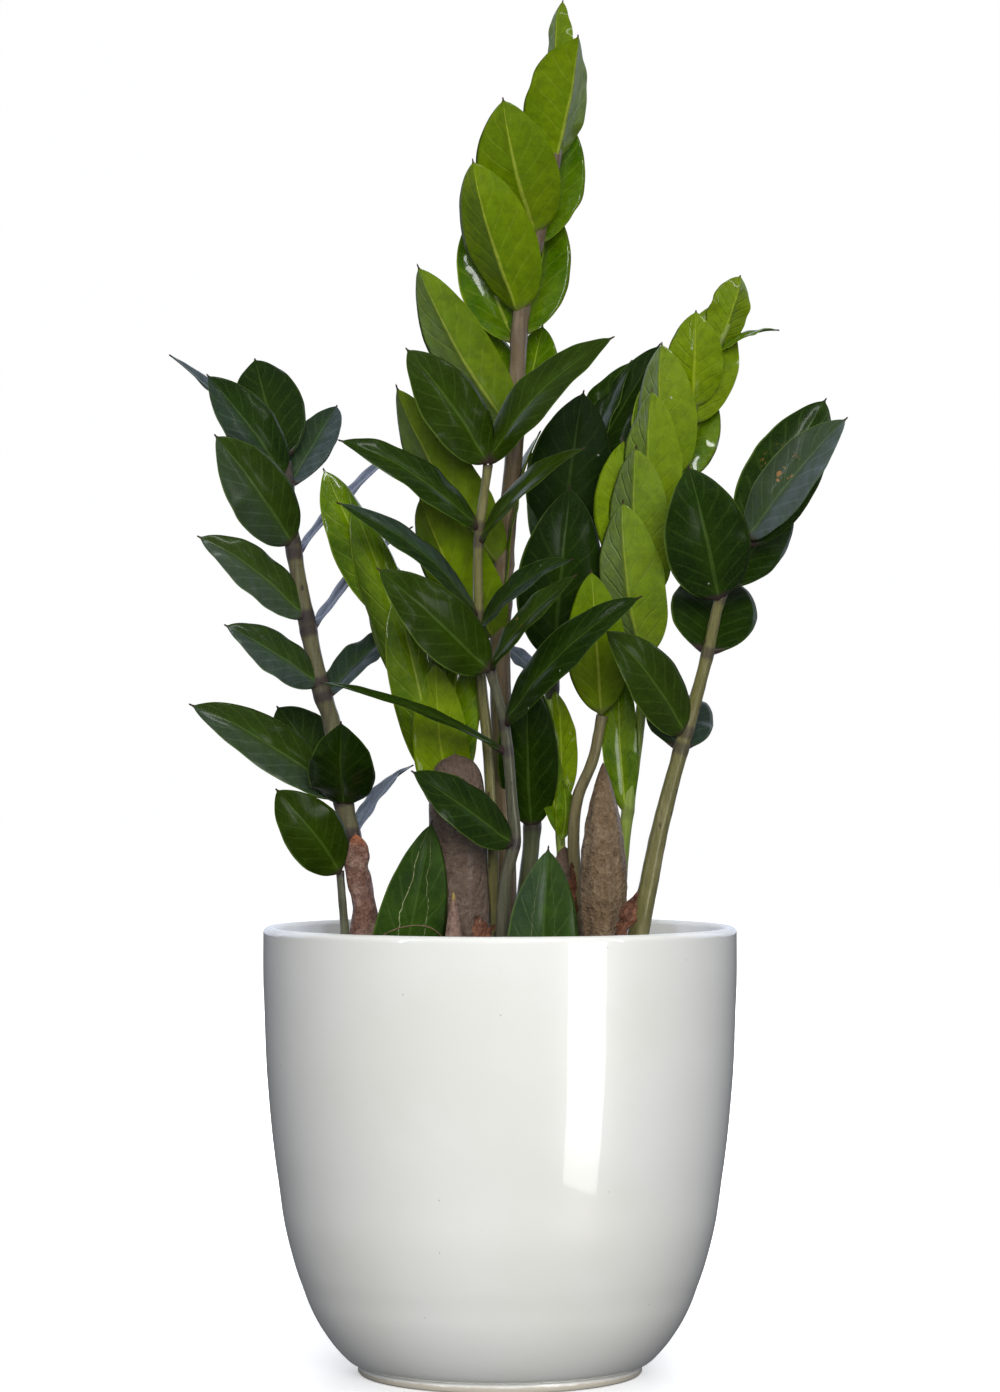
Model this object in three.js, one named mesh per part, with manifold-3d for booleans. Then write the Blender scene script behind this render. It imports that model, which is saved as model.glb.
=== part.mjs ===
// Potted ZZ plant: glazed pot, potting soil, upright fleshy stalks, waxy leaflets,
// three unfurling shoots and the papery scale leaves at their feet.
// Millimetres, +Z up, origin at the centre of the pot's flat foot, front toward -Y.
import * as THREE from "three";
import { mergeVertices } from "three/addons/utils/BufferGeometryUtils.js";
import Module from "manifold-3d";

const wasm = await Module();
wasm.setup();
const { Manifold, Mesh: SolidMesh } = wasm;

// ---- driving dimensions ----
const RIM_RADIUS = 100;
const RIM_HEIGHT = 188;
const WALL = 5;
const FOOT_RADIUS = 60;
const FLOOR_THICKNESS = 9;
const SOIL_HEIGHT = 166;
const GAP = 0.35;
const BLADE_THICKNESS = 1.2;
const POT_SEGMENTS = 48;
const STALK_SIDES = 8;
const STALK_STEPS = 9;

// Outside of the pot: radius and height up from the foot.
const POT_OUTSIDE = [
  [FOOT_RADIUS, 0],
  [FOOT_RADIUS, 3.4],
  [63.5, 5],
  [69.6, 11.5],
  [75.7, 20],
  [80.2, 28.5],
  [83.4, 37],
  [86.4, 45.5],
  [90.9, 63],
  [93.4, 80],
  [95.7, 97],
  [97.4, 114],
  [98.7, 131],
  [99.4, 148],
  [RIM_RADIUS, 168],
  [RIM_RADIUS, RIM_HEIGHT - 2.5],
  [RIM_RADIUS - 1, RIM_HEIGHT - 0.6],
  [RIM_RADIUS - WALL / 2, RIM_HEIGHT],
];

// ---- finishes ----
const finish = (color, roughness) => ({ color, roughness, metalness: 0 });
const GLAZE = finish(0xe9e8e1, 0.18);
const SOIL = finish(0x2a2019, 0.95);
const OLIVE_STALK = finish(0x6d6b45, 0.5);
const BROWN_STALK = finish(0x7a6a56, 0.55);
const PURPLE_STALK = finish(0x4c4750, 0.5);
const DEEP_STALK = finish(0x2f3a24, 0.5);
const DARK_LEAF = finish(0x24391a, 0.35);
const MID_LEAF = finish(0x3a5a1c, 0.35);
const YOUNG_LEAF = finish(0x6c8f14, 0.4);
const DRY_SCALE = finish(0x7d5348, 0.8);
const MAUVE_SCALE = finish(0x6b5549, 0.7);
const TAN_SCALE = finish(0x7a6443, 0.7);
const PINK_SCALE = finish(0x9a6f66, 0.6);

// ---- stalks: centreline points [x, y, z] from the soil up, radius at the foot and at the tip ----
const STALKS = {
  left: {
    path: [[-50, -12, 166], [-54, -12, 186], [-63, -11, 228], [-67, -10, 247], [-71, -10, 275],
      [-75, -10, 287], [-81, -10, 315], [-87, -10, 348], [-91, -8, 384]],
    radii: [4.6, 2.9],
  },
  sprout: { path: [[-64, -18, 166], [-65, -18, 187], [-67, -18, 212]], radii: [2.2, 1.6] },
  tall: {
    path: [[2, 5, 166], [2, 5, 186], [1, 5, 258], [0, 5, 301], [2, 5, 348], [6, 5, 390],
      [9, 6, 448], [16, 8, 482], [23, 8, 515], [25, 8, 544]],
    radii: [5.4, 2.6],
  },
  front: {
    path: [[-3, -20, 166], [-3, -20, 187], [-3, -22, 221], [-5, -25, 262], [-8, -27, 294],
      [-9, -29, 320], [-9, -31, 348], [-5, -33, 381]],
    radii: [2.6, 1.9],
  },
  small: {
    path: [[0, -38, 166], [1, -38, 187], [2, -38, 207], [6, -39, 226], [5, -40, 239],
      [2, -42, 271], [-4, -44, 295]],
    radii: [3, 2],
  },
  back: {
    path: [[7, 14, 166], [9, 14, 185], [13, 14, 220], [15, 15, 245], [20, 15, 265],
      [23, 17, 299], [27, 22, 344], [34, 28, 379]],
    radii: [4.2, 2],
  },
  right: {
    path: [[54, -20, 166], [58, -20, 187], [62, -20, 206], [66, -20, 226], [71, -20, 246],
      [76, -19, 264], [81, -19, 281], [87, -18, 303], [92, -18, 325], [104, -17, 352]],
    radii: [4.6, 1.8],
  },
  slim: {
    path: [[34, -4, 166], [34, -4, 186], [31, -4, 226], [33, -5, 243], [39, -6, 258], [43, -8, 277]],
    radii: [2.8, 2.3],
  },
  bright: {
    path: [[49, 0, 166], [50, 0, 186], [52, 0, 220], [57, 0, 258], [60, 0, 282], [62, 0, 309],
      [66, 0, 343], [73, 0, 377], [82, 0, 407], [90, 0, 428], [97, 0, 443]],
    radii: [3, 1.3],
  },
  spear: {
    path: [[-16, -22, 166], [-17, -22, 187], [-22, -20, 246], [-31, -18, 275], [-43, -17, 309],
      [-57, -16, 342], [-68, -16, 368]],
    radii: [4, 1.4],
  },
  short: {
    path: [[27, 7, 166], [27, 7, 186], [26, 8, 220], [23, 8, 258], [21, 8, 284]],
    radii: [2.4, 1.2],
  },
};

// ---- leaflets: [name, tip, height of its foot up the stalk, width, turn, fold, bow] ----
// turn: 0 shows the glossy upper side to the front, 180 the matt underside, 90 its edge.
// fold: how far each half is raised about the midrib. bow: how far the middle stands off the chord.
const OPEN_LEAFLETS = {
  left: [
    ["left_2", [-122, -32, 419], 376, 25, 25, 12, 4],
    ["left_3", [-106, 30, 432], 384, 31, 0, 6, 3],
    ["left_4", [-118, -42, 393], 349, 29, 15, 8, 5],
    ["left_5", [-70, 26, 412], 373, 19, -15, 12, 3],
    ["left_6", [-125, -34, 352], 318, 22, 30, 10, 4],
    ["left_7", [-114, -34, 315], 290, 21, 32, 10, 4],
    ["left_10", [-43, 12, 315], 284, 22, -70, 22, 3],
    ["left_12", [-128, -40, 282], 243, 24, 28, 10, 6],
    ["left_13", [-96, 32, 281], 242, 29, 0, 6, 3],
    ["left_14", [-65, -58, 275], 240, 29, 0, 8, 5],
    ["left_15", [-37, 6, 257], 226, 13, -90, 18, 4],
  ],
  tall: [
    ["tall_1", [26, 12, 584], 544, 20, 180, 30, -2],
    ["tall_2", [32, -6, 566], 513, 42, -150, 28, -4],
    ["tall_3", [1, -16, 537], 482, 36, 172, 12, -6],
    ["tall_4", [-12, -16, 511], 448, 37, 160, 20, -7],
    ["tall_8", [-35, -18, 467], 398, 30, 165, 16, -8],
    ["tall_11", [-44, -20, 416], 341, 31, 160, 16, -8],
    ["tall_12", [-34, -16, 370], 309, 33, 160, 18, -6],
  ],
  front: [
    ["front_1", [-39, -52, 428], 381, 28, 18, 10, 6],
    ["front_2", [48, -52, 432], 381, 26, -42, 12, 8],
    ["front_3", [-66, -58, 390], 354, 21, 45, 12, 6],
    ["front_4", [35, -52, 387], 348, 18, -62, 15, 5],
    ["front_5", [-68, -58, 363], 317, 19, 58, 12, 9],
    ["front_6", [29, -52, 342], 312, 18, -58, 20, 5],
  ],
  small: [
    ["small_1", [-49, -78, 336], 295, 28, 14, 14, 5],
    ["small_2", [32, -72, 333], 295, 17, -60, 16, 5],
    ["small_3", [57, -80, 325], 272, 24, -48, 14, 8],
    ["small_4", [-74, -72, 290], 261, 15, 72, 14, 4],
    ["small_5", [-37, -74, 254], 223, 22, 28, 10, 4],
  ],
  back: [
    ["back_1", [36, 14, 417], 344, 38, 0, 6, 4],
    ["back_2", [30, -6, 375], 300, 38, 4, 8, 6],
    ["back_7", [11, -24, 297], 229, 27, 0, 12, 4],
  ],
  right: [
    ["right_1", [78, -42, 380], 325, 37, 4, 8, 6],
    ["right_2", [93, 30, 340], 302, 38, 0, 10, 3],
    ["right_3", [44, -50, 312], 269, 26, 22, 12, 5],
    ["right_4", [78, 30, 288], 262, 30, 0, 10, 3],
    ["right_5", [139, 8, 412], 347, 33, -8, 8, 4],
    ["right_6", [144, -36, 401], 350, 28, -35, 20, 4],
  ],
  slim: [["slim_1", [38, -24, 338], 277, 26, 180, 8, -5]],
};

// Leaflets that grow as one body with their stalk.
const GROWN_LEAFLETS = {
  left: [
    ["", [-142, 10, 431], 382, 17, 70, 20, 3],
    ["", [-41, 12, 392], 344, 17, -95, 15, 3],
    ["", [-38, 12, 359], 312, 17, -95, 15, 3],
  ],
  sprout: [["", [-93, -46, 247], 211, 26, 10, 6, 4]],
  tall: [
    ["", [29, 24, 535], 477, 28, -25, 10, -3],
    ["", [23, 26, 498], 438, 30, -20, 10, -4],
    ["", [-13, 24, 493], 435, 30, 20, 10, -4],
    ["", [-28, 26, 462], 410, 28, 20, 10, -3],
    ["", [18, 26, 447], 403, 24, -20, 10, -3],
    ["", [-30, 28, 388], 331, 26, 20, 10, -3],
    ["", [16, 6, 399], 325, 26, -75, 14, 4],
  ],
  back: [
    ["", [56, 30, 432], 375, 25, -50, 25, 3],
    ["", [70, 28, 438], 370, 26, -30, 14, 3],
    ["", [13, 26, 392], 327, 22, 30, 10, 3],
    ["", [-1, 22, 310], 288, 15, 60, 12, 2],
  ],
  right: [
    ["", [124, 34, 372], 330, 25, -10, 8, 3],
    ["", [92, 30, 376], 335, 18, 20, 8, 3],
  ],
  bright: [
    ["", [103, 4, 465], 434, 22, -150, 25, -2],
    ["", [93, 8, 454], 400, 30, 190, 10, -3],
    ["", [83, -4, 449], 407, 25, 175, 12, -4],
    ["", [119, 6, 442], 431, 11, -70, 15, 3],
    ["", [68, -7, 435], 377, 32, 158, 22, -5],
    ["", [65, -10, 415], 352, 32, 158, 22, -6],
    ["", [66, 10, 424], 377, 26, 10, 10, -3],
    ["", [92, 10, 413], 377, 24, -10, 10, -3],
    ["", [58, -14, 391], 326, 34, 158, 20, -7],
    ["", [52, 2, 395], 332, 38, 185, 8, -2],
    ["", [52, -17, 368], 301, 34, 160, 16, -8],
    ["", [50, -2, 303], 235, 16, 0, 8, 3],
  ],
  spear: [
    ["", [-74, -20, 381], 330, 20, 20, 18, 3],
    ["", [-65, -24, 364], 292, 22, 10, 18, 4],
    ["", [-53, -10, 348], 284, 24, -10, 14, 3],
    ["", [-50, -24, 329], 258, 22, 10, 18, 4],
    ["", [-27, -28, 298], 244, 17, 180, 12, -4],
    ["", [-17, -14, 304], 244, 18, -10, 14, 3],
  ],
  short: [
    ["", [18, 5, 288], 243, 11, 0, 20, 2],
    ["", [24, 11, 289], 236, 16, 195, 14, -3],
    ["", [27, 4, 250], 224, 9, 0, 20, 2],
    ["", [18, 5, 283], 226, 12, 0, 20, 2],
  ],
};

// ---- papery scale leaves and rim leaves: [foot, tip, width, turn, fold, bow, wrap] ----
const SCALES = {
  dry_scale: [[-54.5, -20.3, 166.9], [-61, -19, 228], 14.3, 0, 0, 0, 62],
  mauve_scale: [[-15.6, -35.8, 166.8], [-19, -35, 262], 32, 0, 0, 0, 85],
  short_scale: [[27, 1.8, 166.8], [27, 1.8, 223], 11.2, 0, 0, 0, 80],
};
const RIM_LEAVES = {
  rim_leaf_left: [[-40, -37, 169.5], [-27, -38, 232], 30, 4, 8, 3, 0],
  rim_leaf_right: [[17, -52, 168.5], [23, -50, 221], 32, 0, 8, 3, 0],
};
// ---- closed spindle-shaped sheaths: [foot, height, radius at the foot, widest radius, share at widest] ----
const SPINDLES = {
  closed_sheath: [[43, -24, 166.4], 90, 7.5, 9.4, 0.55],
  pink_bud: [[-19, -54, 166.4], 38, 4, 4.2, 0.3],
};

const vec = (p) => new THREE.Vector3(...p);
const radians = THREE.MathUtils.degToRad;

/** A closed indexed geometry from points and faces. */
function closedMesh(points, faces) {
  const geometry = new THREE.BufferGeometry();
  geometry.setAttribute("position", new THREE.Float32BufferAttribute(points.flatMap((p) => p.toArray()), 3));
  geometry.setIndex(faces.flat());
  return geometry;
}

/** A three.js geometry as a solid that can be joined to others. */
function toSolid(geometry) {
  const bare = new THREE.BufferGeometry();
  bare.setAttribute("position", geometry.getAttribute("position").clone());
  bare.setIndex(geometry.getIndex().clone());
  const welded = mergeVertices(bare, 1e-4);
  const mesh = new SolidMesh({
    numProp: 3,
    vertProperties: new Float32Array(welded.getAttribute("position").array),
    triVerts: new Uint32Array(welded.getIndex().array),
  });
  mesh.merge();
  return new Manifold(mesh);
}

/** Several touching geometries joined into one closed body. */
function joined(geometries) {
  const solid = Manifold.union(geometries.map(toSolid));
  const mesh = solid.simplify(0.02).getMesh();
  const geometry = new THREE.BufferGeometry();
  geometry.setAttribute("position", new THREE.Float32BufferAttribute(Array.from(mesh.vertProperties), 3));
  geometry.setIndex(Array.from(mesh.triVerts));
  return geometry;
}

/** A body turned about the pot's axis from a profile of [radius, height] that starts and ends on it. */
function turned(profile, segments = POT_SEGMENTS) {
  const points = profile.map(([radius, height]) => new THREE.Vector2(radius, height));
  return mergeVertices(new THREE.LatheGeometry(points, segments).rotateX(Math.PI / 2), 1e-4);
}

/** Rings of points skinned into one closed body with flat ends. */
function skinned(rings) {
  const sides = rings[0].length;
  const points = rings.flat();
  const faces = [];
  for (let ring = 0; ring < rings.length - 1; ring += 1) {
    for (let side = 0; side < sides; side += 1) {
      const next = (side + 1) % sides;
      const a = ring * sides + side;
      const b = ring * sides + next;
      faces.push([a, b, b + sides], [a, b + sides, a + sides]);
    }
  }
  const last = (rings.length - 1) * sides;
  for (let side = 1; side < sides - 1; side += 1) {
    faces.push([0, side + 1, side], [last, last + side, last + side + 1]);
  }
  return closedMesh(points, faces);
}

/** The smooth centreline of a stalk. */
function centreline({ path }) {
  return new THREE.CatmullRomCurve3(path.map(vec), false, "centripetal");
}

/** The radius of a stalk at a share of its length. */
function radiusAt({ radii }, share) {
  return THREE.MathUtils.lerp(radii[0], radii[1], share);
}

/** A round tapering stalk standing just clear of the soil. */
function stalkBody(stalk) {
  const curve = centreline(stalk);
  const rings = [];
  for (let step = 0; step <= STALK_STEPS; step += 1) {
    const share = step / STALK_STEPS;
    const centre = curve.getPointAt(share);
    const along = step === 0 ? new THREE.Vector3(0, 0, 1) : curve.getTangentAt(share);
    const across = new THREE.Vector3(1, 0, 0).addScaledVector(along, -along.x).normalize();
    const deep = along.clone().cross(across);
    const radius = radiusAt(stalk, share);
    const lift = step === 0 ? GAP : 0;
    const ring = [];
    for (let side = 0; side < STALK_SIDES; side += 1) {
      const angle = (2 * Math.PI * side) / STALK_SIDES;
      const point = centre.clone().addScaledVector(across, radius * Math.cos(angle));
      ring.push(point.addScaledVector(deep, radius * Math.sin(angle)).add(new THREE.Vector3(0, 0, lift)));
    }
    rings.push(ring);
  }
  return skinned(rings);
}

/** Where a leaflet springs from its stalk: centre, direction of the stalk and its radius there. */
function footOn(stalk, height) {
  const curve = centreline(stalk);
  let low = 0;
  let high = 1;
  for (let pass = 0; pass < 24; pass += 1) {
    const middle = (low + high) / 2;
    if (curve.getPointAt(middle).z < height) low = middle;
    else high = middle;
  }
  return { centre: curve.getPointAt(low), along: curve.getTangentAt(low), radius: radiusAt(stalk, low) };
}

/** Half the width of a blade at a share of its length, as a share of the widest half. */
function outline(share, foot = 0.7, point = 0.62) {
  const widest = foot / (foot + point);
  return (share ** foot * (1 - share) ** point) / (widest ** foot * (1 - widest) ** point);
}

/** A thin folded, bowed leaf blade as a closed solid from its foot to its tip. */
function blade(foot, tip, { width, turn, fold, bow, wrap = 0, shares, halfAt }) {
  const chord = tip.clone().sub(foot);
  const along = chord.clone().normalize();
  const front = new THREE.Vector3(0, -1, 0);
  const facing = front.addScaledVector(along, -front.dot(along)).normalize();
  const sideways = along.clone().cross(facing);
  const up = facing.multiplyScalar(Math.cos(radians(turn))).addScaledVector(sideways, Math.sin(radians(turn)));
  const lateral = along.clone().cross(up);
  const steps = wrap > 0 ? [-1, -0.5, 0, 0.5, 1] : [-1, 0, 1];
  const curl = wrap > 0 ? width / 2 / radians(wrap) : 0;
  const upper = [];
  const lower = [];
  for (const share of shares) {
    const middle = foot.clone().addScaledVector(chord, share).addScaledVector(up, 4 * bow * share * (1 - share));
    const half = Math.max(halfAt(share) * width / 2, 0.5);
    for (const step of steps) {
      const bend = radians(wrap) * step * Math.max(halfAt(share), 0.08);
      const reach = wrap > 0 ? curl * Math.sin(bend) : half * step * Math.cos(radians(fold));
      const rise = wrap > 0 ? curl * (Math.cos(bend) - 1) : half * Math.abs(step) * Math.sin(radians(fold));
      const point = middle.clone().addScaledVector(lateral, reach).addScaledVector(up, rise);
      const out = wrap > 0
        ? up.clone().multiplyScalar(Math.cos(bend)).addScaledVector(lateral, Math.sin(bend))
        : up;
      upper.push(point.clone().addScaledVector(out, BLADE_THICKNESS / 2));
      lower.push(point.clone().addScaledVector(out, -BLADE_THICKNESS / 2));
    }
  }
  return sheet(upper, lower, shares.length, steps.length);
}

/** Two matching grids of points, upper and lower, closed round their edge. */
function sheet(upper, lower, rows, columns) {
  const count = upper.length;
  const faces = [];
  for (let row = 0; row < rows - 1; row += 1) {
    for (let column = 0; column < columns - 1; column += 1) {
      const a = row * columns + column;
      const c = a + columns;
      faces.push([a, a + 1, c + 1], [a, c + 1, c]);
      faces.push([a + count, c + 1 + count, a + 1 + count], [a + count, c + count, c + 1 + count]);
    }
  }
  const edge = [];
  for (let column = 0; column < columns - 1; column += 1) edge.push(column);
  for (let row = 0; row < rows - 1; row += 1) edge.push(row * columns + columns - 1);
  for (let column = columns - 1; column > 0; column -= 1) edge.push((rows - 1) * columns + column);
  for (let row = rows - 1; row > 0; row -= 1) edge.push(row * columns);
  edge.forEach((a, place) => {
    const b = edge[(place + 1) % edge.length];
    faces.push([a, a + count, b + count], [a, b + count, b]);
  });
  return closedMesh([...upper, ...lower], faces);
}

/** A leaflet on a stalk, standing just clear of it or rooted in its middle. */
function leaflet(stalk, [, tip, height, width, turn, fold, bow], rooted) {
  const { centre, along, radius } = footOn(stalk, height);
  const end = vec(tip);
  const away = end.clone().sub(centre).normalize();
  away.addScaledVector(along, -away.dot(along)).normalize();
  const clear = rooted ? 0 : radius + 2 * GAP + BLADE_THICKNESS / 2;
  const foot = centre.clone().addScaledVector(away, clear);
  return blade(foot, end, {
    width, turn, fold, bow, shares: [0, 0.07, 0.2, 0.38, 0.58, 0.78, 0.93, 1], halfAt: outline,
  });
}

/** A scale leaf or rim leaf rising from the soil. */
function scale([foot, tip, width, turn, fold, bow, wrap], halfAt) {
  return blade(vec(foot), vec(tip), {
    width, turn, fold, bow, wrap, shares: [0, 0.15, 0.35, 0.55, 0.75, 0.92, 1], halfAt,
  });
}

/** A closed sheath: a spindle standing on the soil and coming to a point. */
function spindle([foot, height, footRadius, widestRadius, widestShare]) {
  const rings = [0, 0.2, 0.4, 0.6, 0.78, 0.92, 1].map((share) => {
    const climb = share < widestShare
      ? THREE.MathUtils.lerp(footRadius, widestRadius, Math.sin((Math.PI / 2) * (share / widestShare)))
      : widestRadius * Math.cos((Math.PI / 2) * ((share - widestShare) / (1 - widestShare))) ** 0.8;
    const radius = Math.max(climb, 0.5);
    return Array.from({ length: 12 }, (_, side) => {
      const angle = (2 * Math.PI * side) / 12;
      return vec(foot).add(new THREE.Vector3(radius * Math.cos(angle), radius * Math.sin(angle), height * share));
    });
  });
  return skinned(rings);
}

/** The inside radius of the pot at each outside point, kept clear of the floor. */
function potInside(clearance) {
  const floor = FLOOR_THICKNESS + clearance;
  const wall = POT_OUTSIDE.filter(([radius, height]) => height > floor + 1 && radius > 70 && height < RIM_HEIGHT - 3)
    .map(([radius, height]) => [radius - WALL - clearance, height]);
  return [[0, floor], [wall[0][0] - 6, floor], ...wall];
}

/** The pot's wall and floor as one turned body. */
function potBody() {
  const inside = potInside(0);
  const lip = [RIM_RADIUS - WALL + 0.6, RIM_HEIGHT - 0.8];
  return turned([[0, 0], ...POT_OUTSIDE, lip, ...inside.reverse()]);
}

/** The soil filling the pot up to its level top. */
function soilBody() {
  const inside = potInside(GAP);
  const below = inside.filter(([, height]) => height < SOIL_HEIGHT - 4);
  const edge = RIM_RADIUS - WALL - GAP - 0.2;
  return turned([...below, [edge, SOIL_HEIGHT], [0, SOIL_HEIGHT]]);
}

const plant = new THREE.Group();
plant.name = "potted_zz_plant";

/** Adds one named solid with its finish. */
function add(name, geometry, look) {
  geometry.computeVertexNormals();
  const mesh = new THREE.Mesh(geometry, new THREE.MeshStandardMaterial(look));
  mesh.name = name;
  plant.add(mesh);
}

const STALK_FINISH = {
  left: OLIVE_STALK, sprout: PURPLE_STALK, tall: BROWN_STALK, front: OLIVE_STALK, small: PURPLE_STALK,
  back: DEEP_STALK, right: OLIVE_STALK, slim: BROWN_STALK, bright: YOUNG_LEAF, spear: YOUNG_LEAF, short: YOUNG_LEAF,
};
const LEAF_FINISH = {
  left: DARK_LEAF, tall: YOUNG_LEAF, front: DARK_LEAF, small: DARK_LEAF, back: DARK_LEAF,
  right: DARK_LEAF, slim: YOUNG_LEAF,
};

add("pot", potBody(), GLAZE);
add("potting_soil", soilBody(), SOIL);

for (const [name, stalk] of Object.entries(STALKS)) {
  const grown = (GROWN_LEAFLETS[name] ?? []).map((row) => leaflet(stalk, row, true));
  const body = stalkBody(stalk);
  add(`stalk_${name}`, grown.length > 0 ? joined([body, ...grown]) : body, STALK_FINISH[name]);
  for (const row of OPEN_LEAFLETS[name] ?? []) {
    add(`leaflet_${row[0]}`, leaflet(stalk, row, false), LEAF_FINISH[name]);
  }
}

const SCALE_FINISH = { dry_scale: DRY_SCALE, mauve_scale: MAUVE_SCALE, short_scale: MAUVE_SCALE };
for (const [name, row] of Object.entries(SCALES)) {
  add(name, scale(row, (share) => Math.sqrt(Math.max(1 - share ** 4, 0))), SCALE_FINISH[name]);
}
for (const [name, row] of Object.entries(RIM_LEAVES)) {
  add(name, scale(row, (share) => outline(0.12 + 0.88 * share, 0.6, 0.7)), MID_LEAF);
}
add("closed_sheath", spindle(SPINDLES.closed_sheath), TAN_SCALE);
add("pink_bud", spindle(SPINDLES.pink_bud), PINK_SCALE);

export default plant;
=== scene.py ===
"""Potted ZZ plant: a glazed pot of soil with fleshy stalks, waxy leaflets and papery scale leaves.

Sizes in the tables are millimetres in the part's own frame: +Z up, front toward -Y, origin under the
middle of the pot. Every class builds its meshes, dresses them with its finish and hands them to the frame.
"""

from __future__ import annotations

import logging
import math
import random
import zlib
from dataclasses import dataclass, field, replace
from enum import Enum
from typing import Sequence, Union

import bpy
import numpy as np
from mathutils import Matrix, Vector


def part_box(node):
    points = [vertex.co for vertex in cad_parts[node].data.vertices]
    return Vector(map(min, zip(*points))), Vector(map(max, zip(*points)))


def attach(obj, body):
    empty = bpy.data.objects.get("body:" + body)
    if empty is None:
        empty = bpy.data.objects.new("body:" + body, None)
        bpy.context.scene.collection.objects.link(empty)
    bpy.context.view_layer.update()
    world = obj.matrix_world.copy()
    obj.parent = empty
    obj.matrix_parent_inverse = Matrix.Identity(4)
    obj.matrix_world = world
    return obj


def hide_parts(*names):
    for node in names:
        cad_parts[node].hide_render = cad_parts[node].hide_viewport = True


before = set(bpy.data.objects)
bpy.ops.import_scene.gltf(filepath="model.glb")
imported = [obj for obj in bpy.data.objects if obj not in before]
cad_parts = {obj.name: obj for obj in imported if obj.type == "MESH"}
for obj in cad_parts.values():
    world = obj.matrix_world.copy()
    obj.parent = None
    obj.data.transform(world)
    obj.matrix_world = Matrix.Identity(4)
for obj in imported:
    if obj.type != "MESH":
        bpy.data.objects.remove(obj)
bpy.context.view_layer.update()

LOG = logging.getLogger("zz_plant")
MM = 0.001
BODY = "root"

Colour = tuple[float, float, float]
Point = tuple[float, float, float]
Feed = Union["Wire", float, int, Sequence[float]]


def srgb(red: int, green: int, blue: int) -> Colour:
    """Turn display values of 0 to 255 into the linear colour that a shader takes.

    Args:
        red: Red of 0 to 255.
        green: Green of 0 to 255.
        blue: Blue of 0 to 255.

    Returns:
        The linear colour.
    """
    def straight(value: int) -> float:
        """Undo the display curve of one channel."""
        share = value / 255
        return share / 12.92 if share <= 0.04045 else ((share + 0.055) / 1.055) ** 2.4

    return straight(red), straight(green), straight(blue)


def dice(name: str) -> random.Random:
    """Give a named piece its own repeatable run of chance."""
    return random.Random(zlib.crc32(name.encode()))


# ---------------------------------------------------------------- nodes as arithmetic


class Wire:
    """A node socket that takes part in arithmetic, adding the Math nodes it needs."""

    def __init__(self, bench: "Bench", socket: bpy.types.NodeSocket) -> None:
        """Hold a socket and the bench it lies on."""
        self.bench = bench
        self.socket = socket

    @property
    def is_vector(self) -> bool:
        """Whether the socket carries three numbers."""
        return self.socket.type in {"VECTOR", "RGBA"}

    def __add__(self, other: Feed) -> "Wire":
        """Add."""
        return self.bench.math("ADD", self, other)

    def __radd__(self, other: Feed) -> "Wire":
        """Add to a number."""
        return self.bench.math("ADD", other, self)

    def __sub__(self, other: Feed) -> "Wire":
        """Take away."""
        return self.bench.math("SUBTRACT", self, other)

    def __rsub__(self, other: Feed) -> "Wire":
        """Take from a number."""
        return self.bench.math("SUBTRACT", other, self)

    def __mul__(self, other: Feed) -> "Wire":
        """Multiply."""
        return self.bench.math("MULTIPLY", self, other)

    def __rmul__(self, other: Feed) -> "Wire":
        """Multiply a number."""
        return self.bench.math("MULTIPLY", other, self)

    def __truediv__(self, other: Feed) -> "Wire":
        """Divide."""
        return self.bench.math("DIVIDE", self, other)

    def __pow__(self, other: Feed) -> "Wire":
        """Raise to a power."""
        return self.bench.math("POWER", self, other)

    def __neg__(self) -> "Wire":
        """Change sign."""
        return self.bench.math("MULTIPLY", self, -1.0)

    def __abs__(self) -> "Wire":
        """Drop the sign."""
        return self.bench.math("ABSOLUTE", self)


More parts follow.
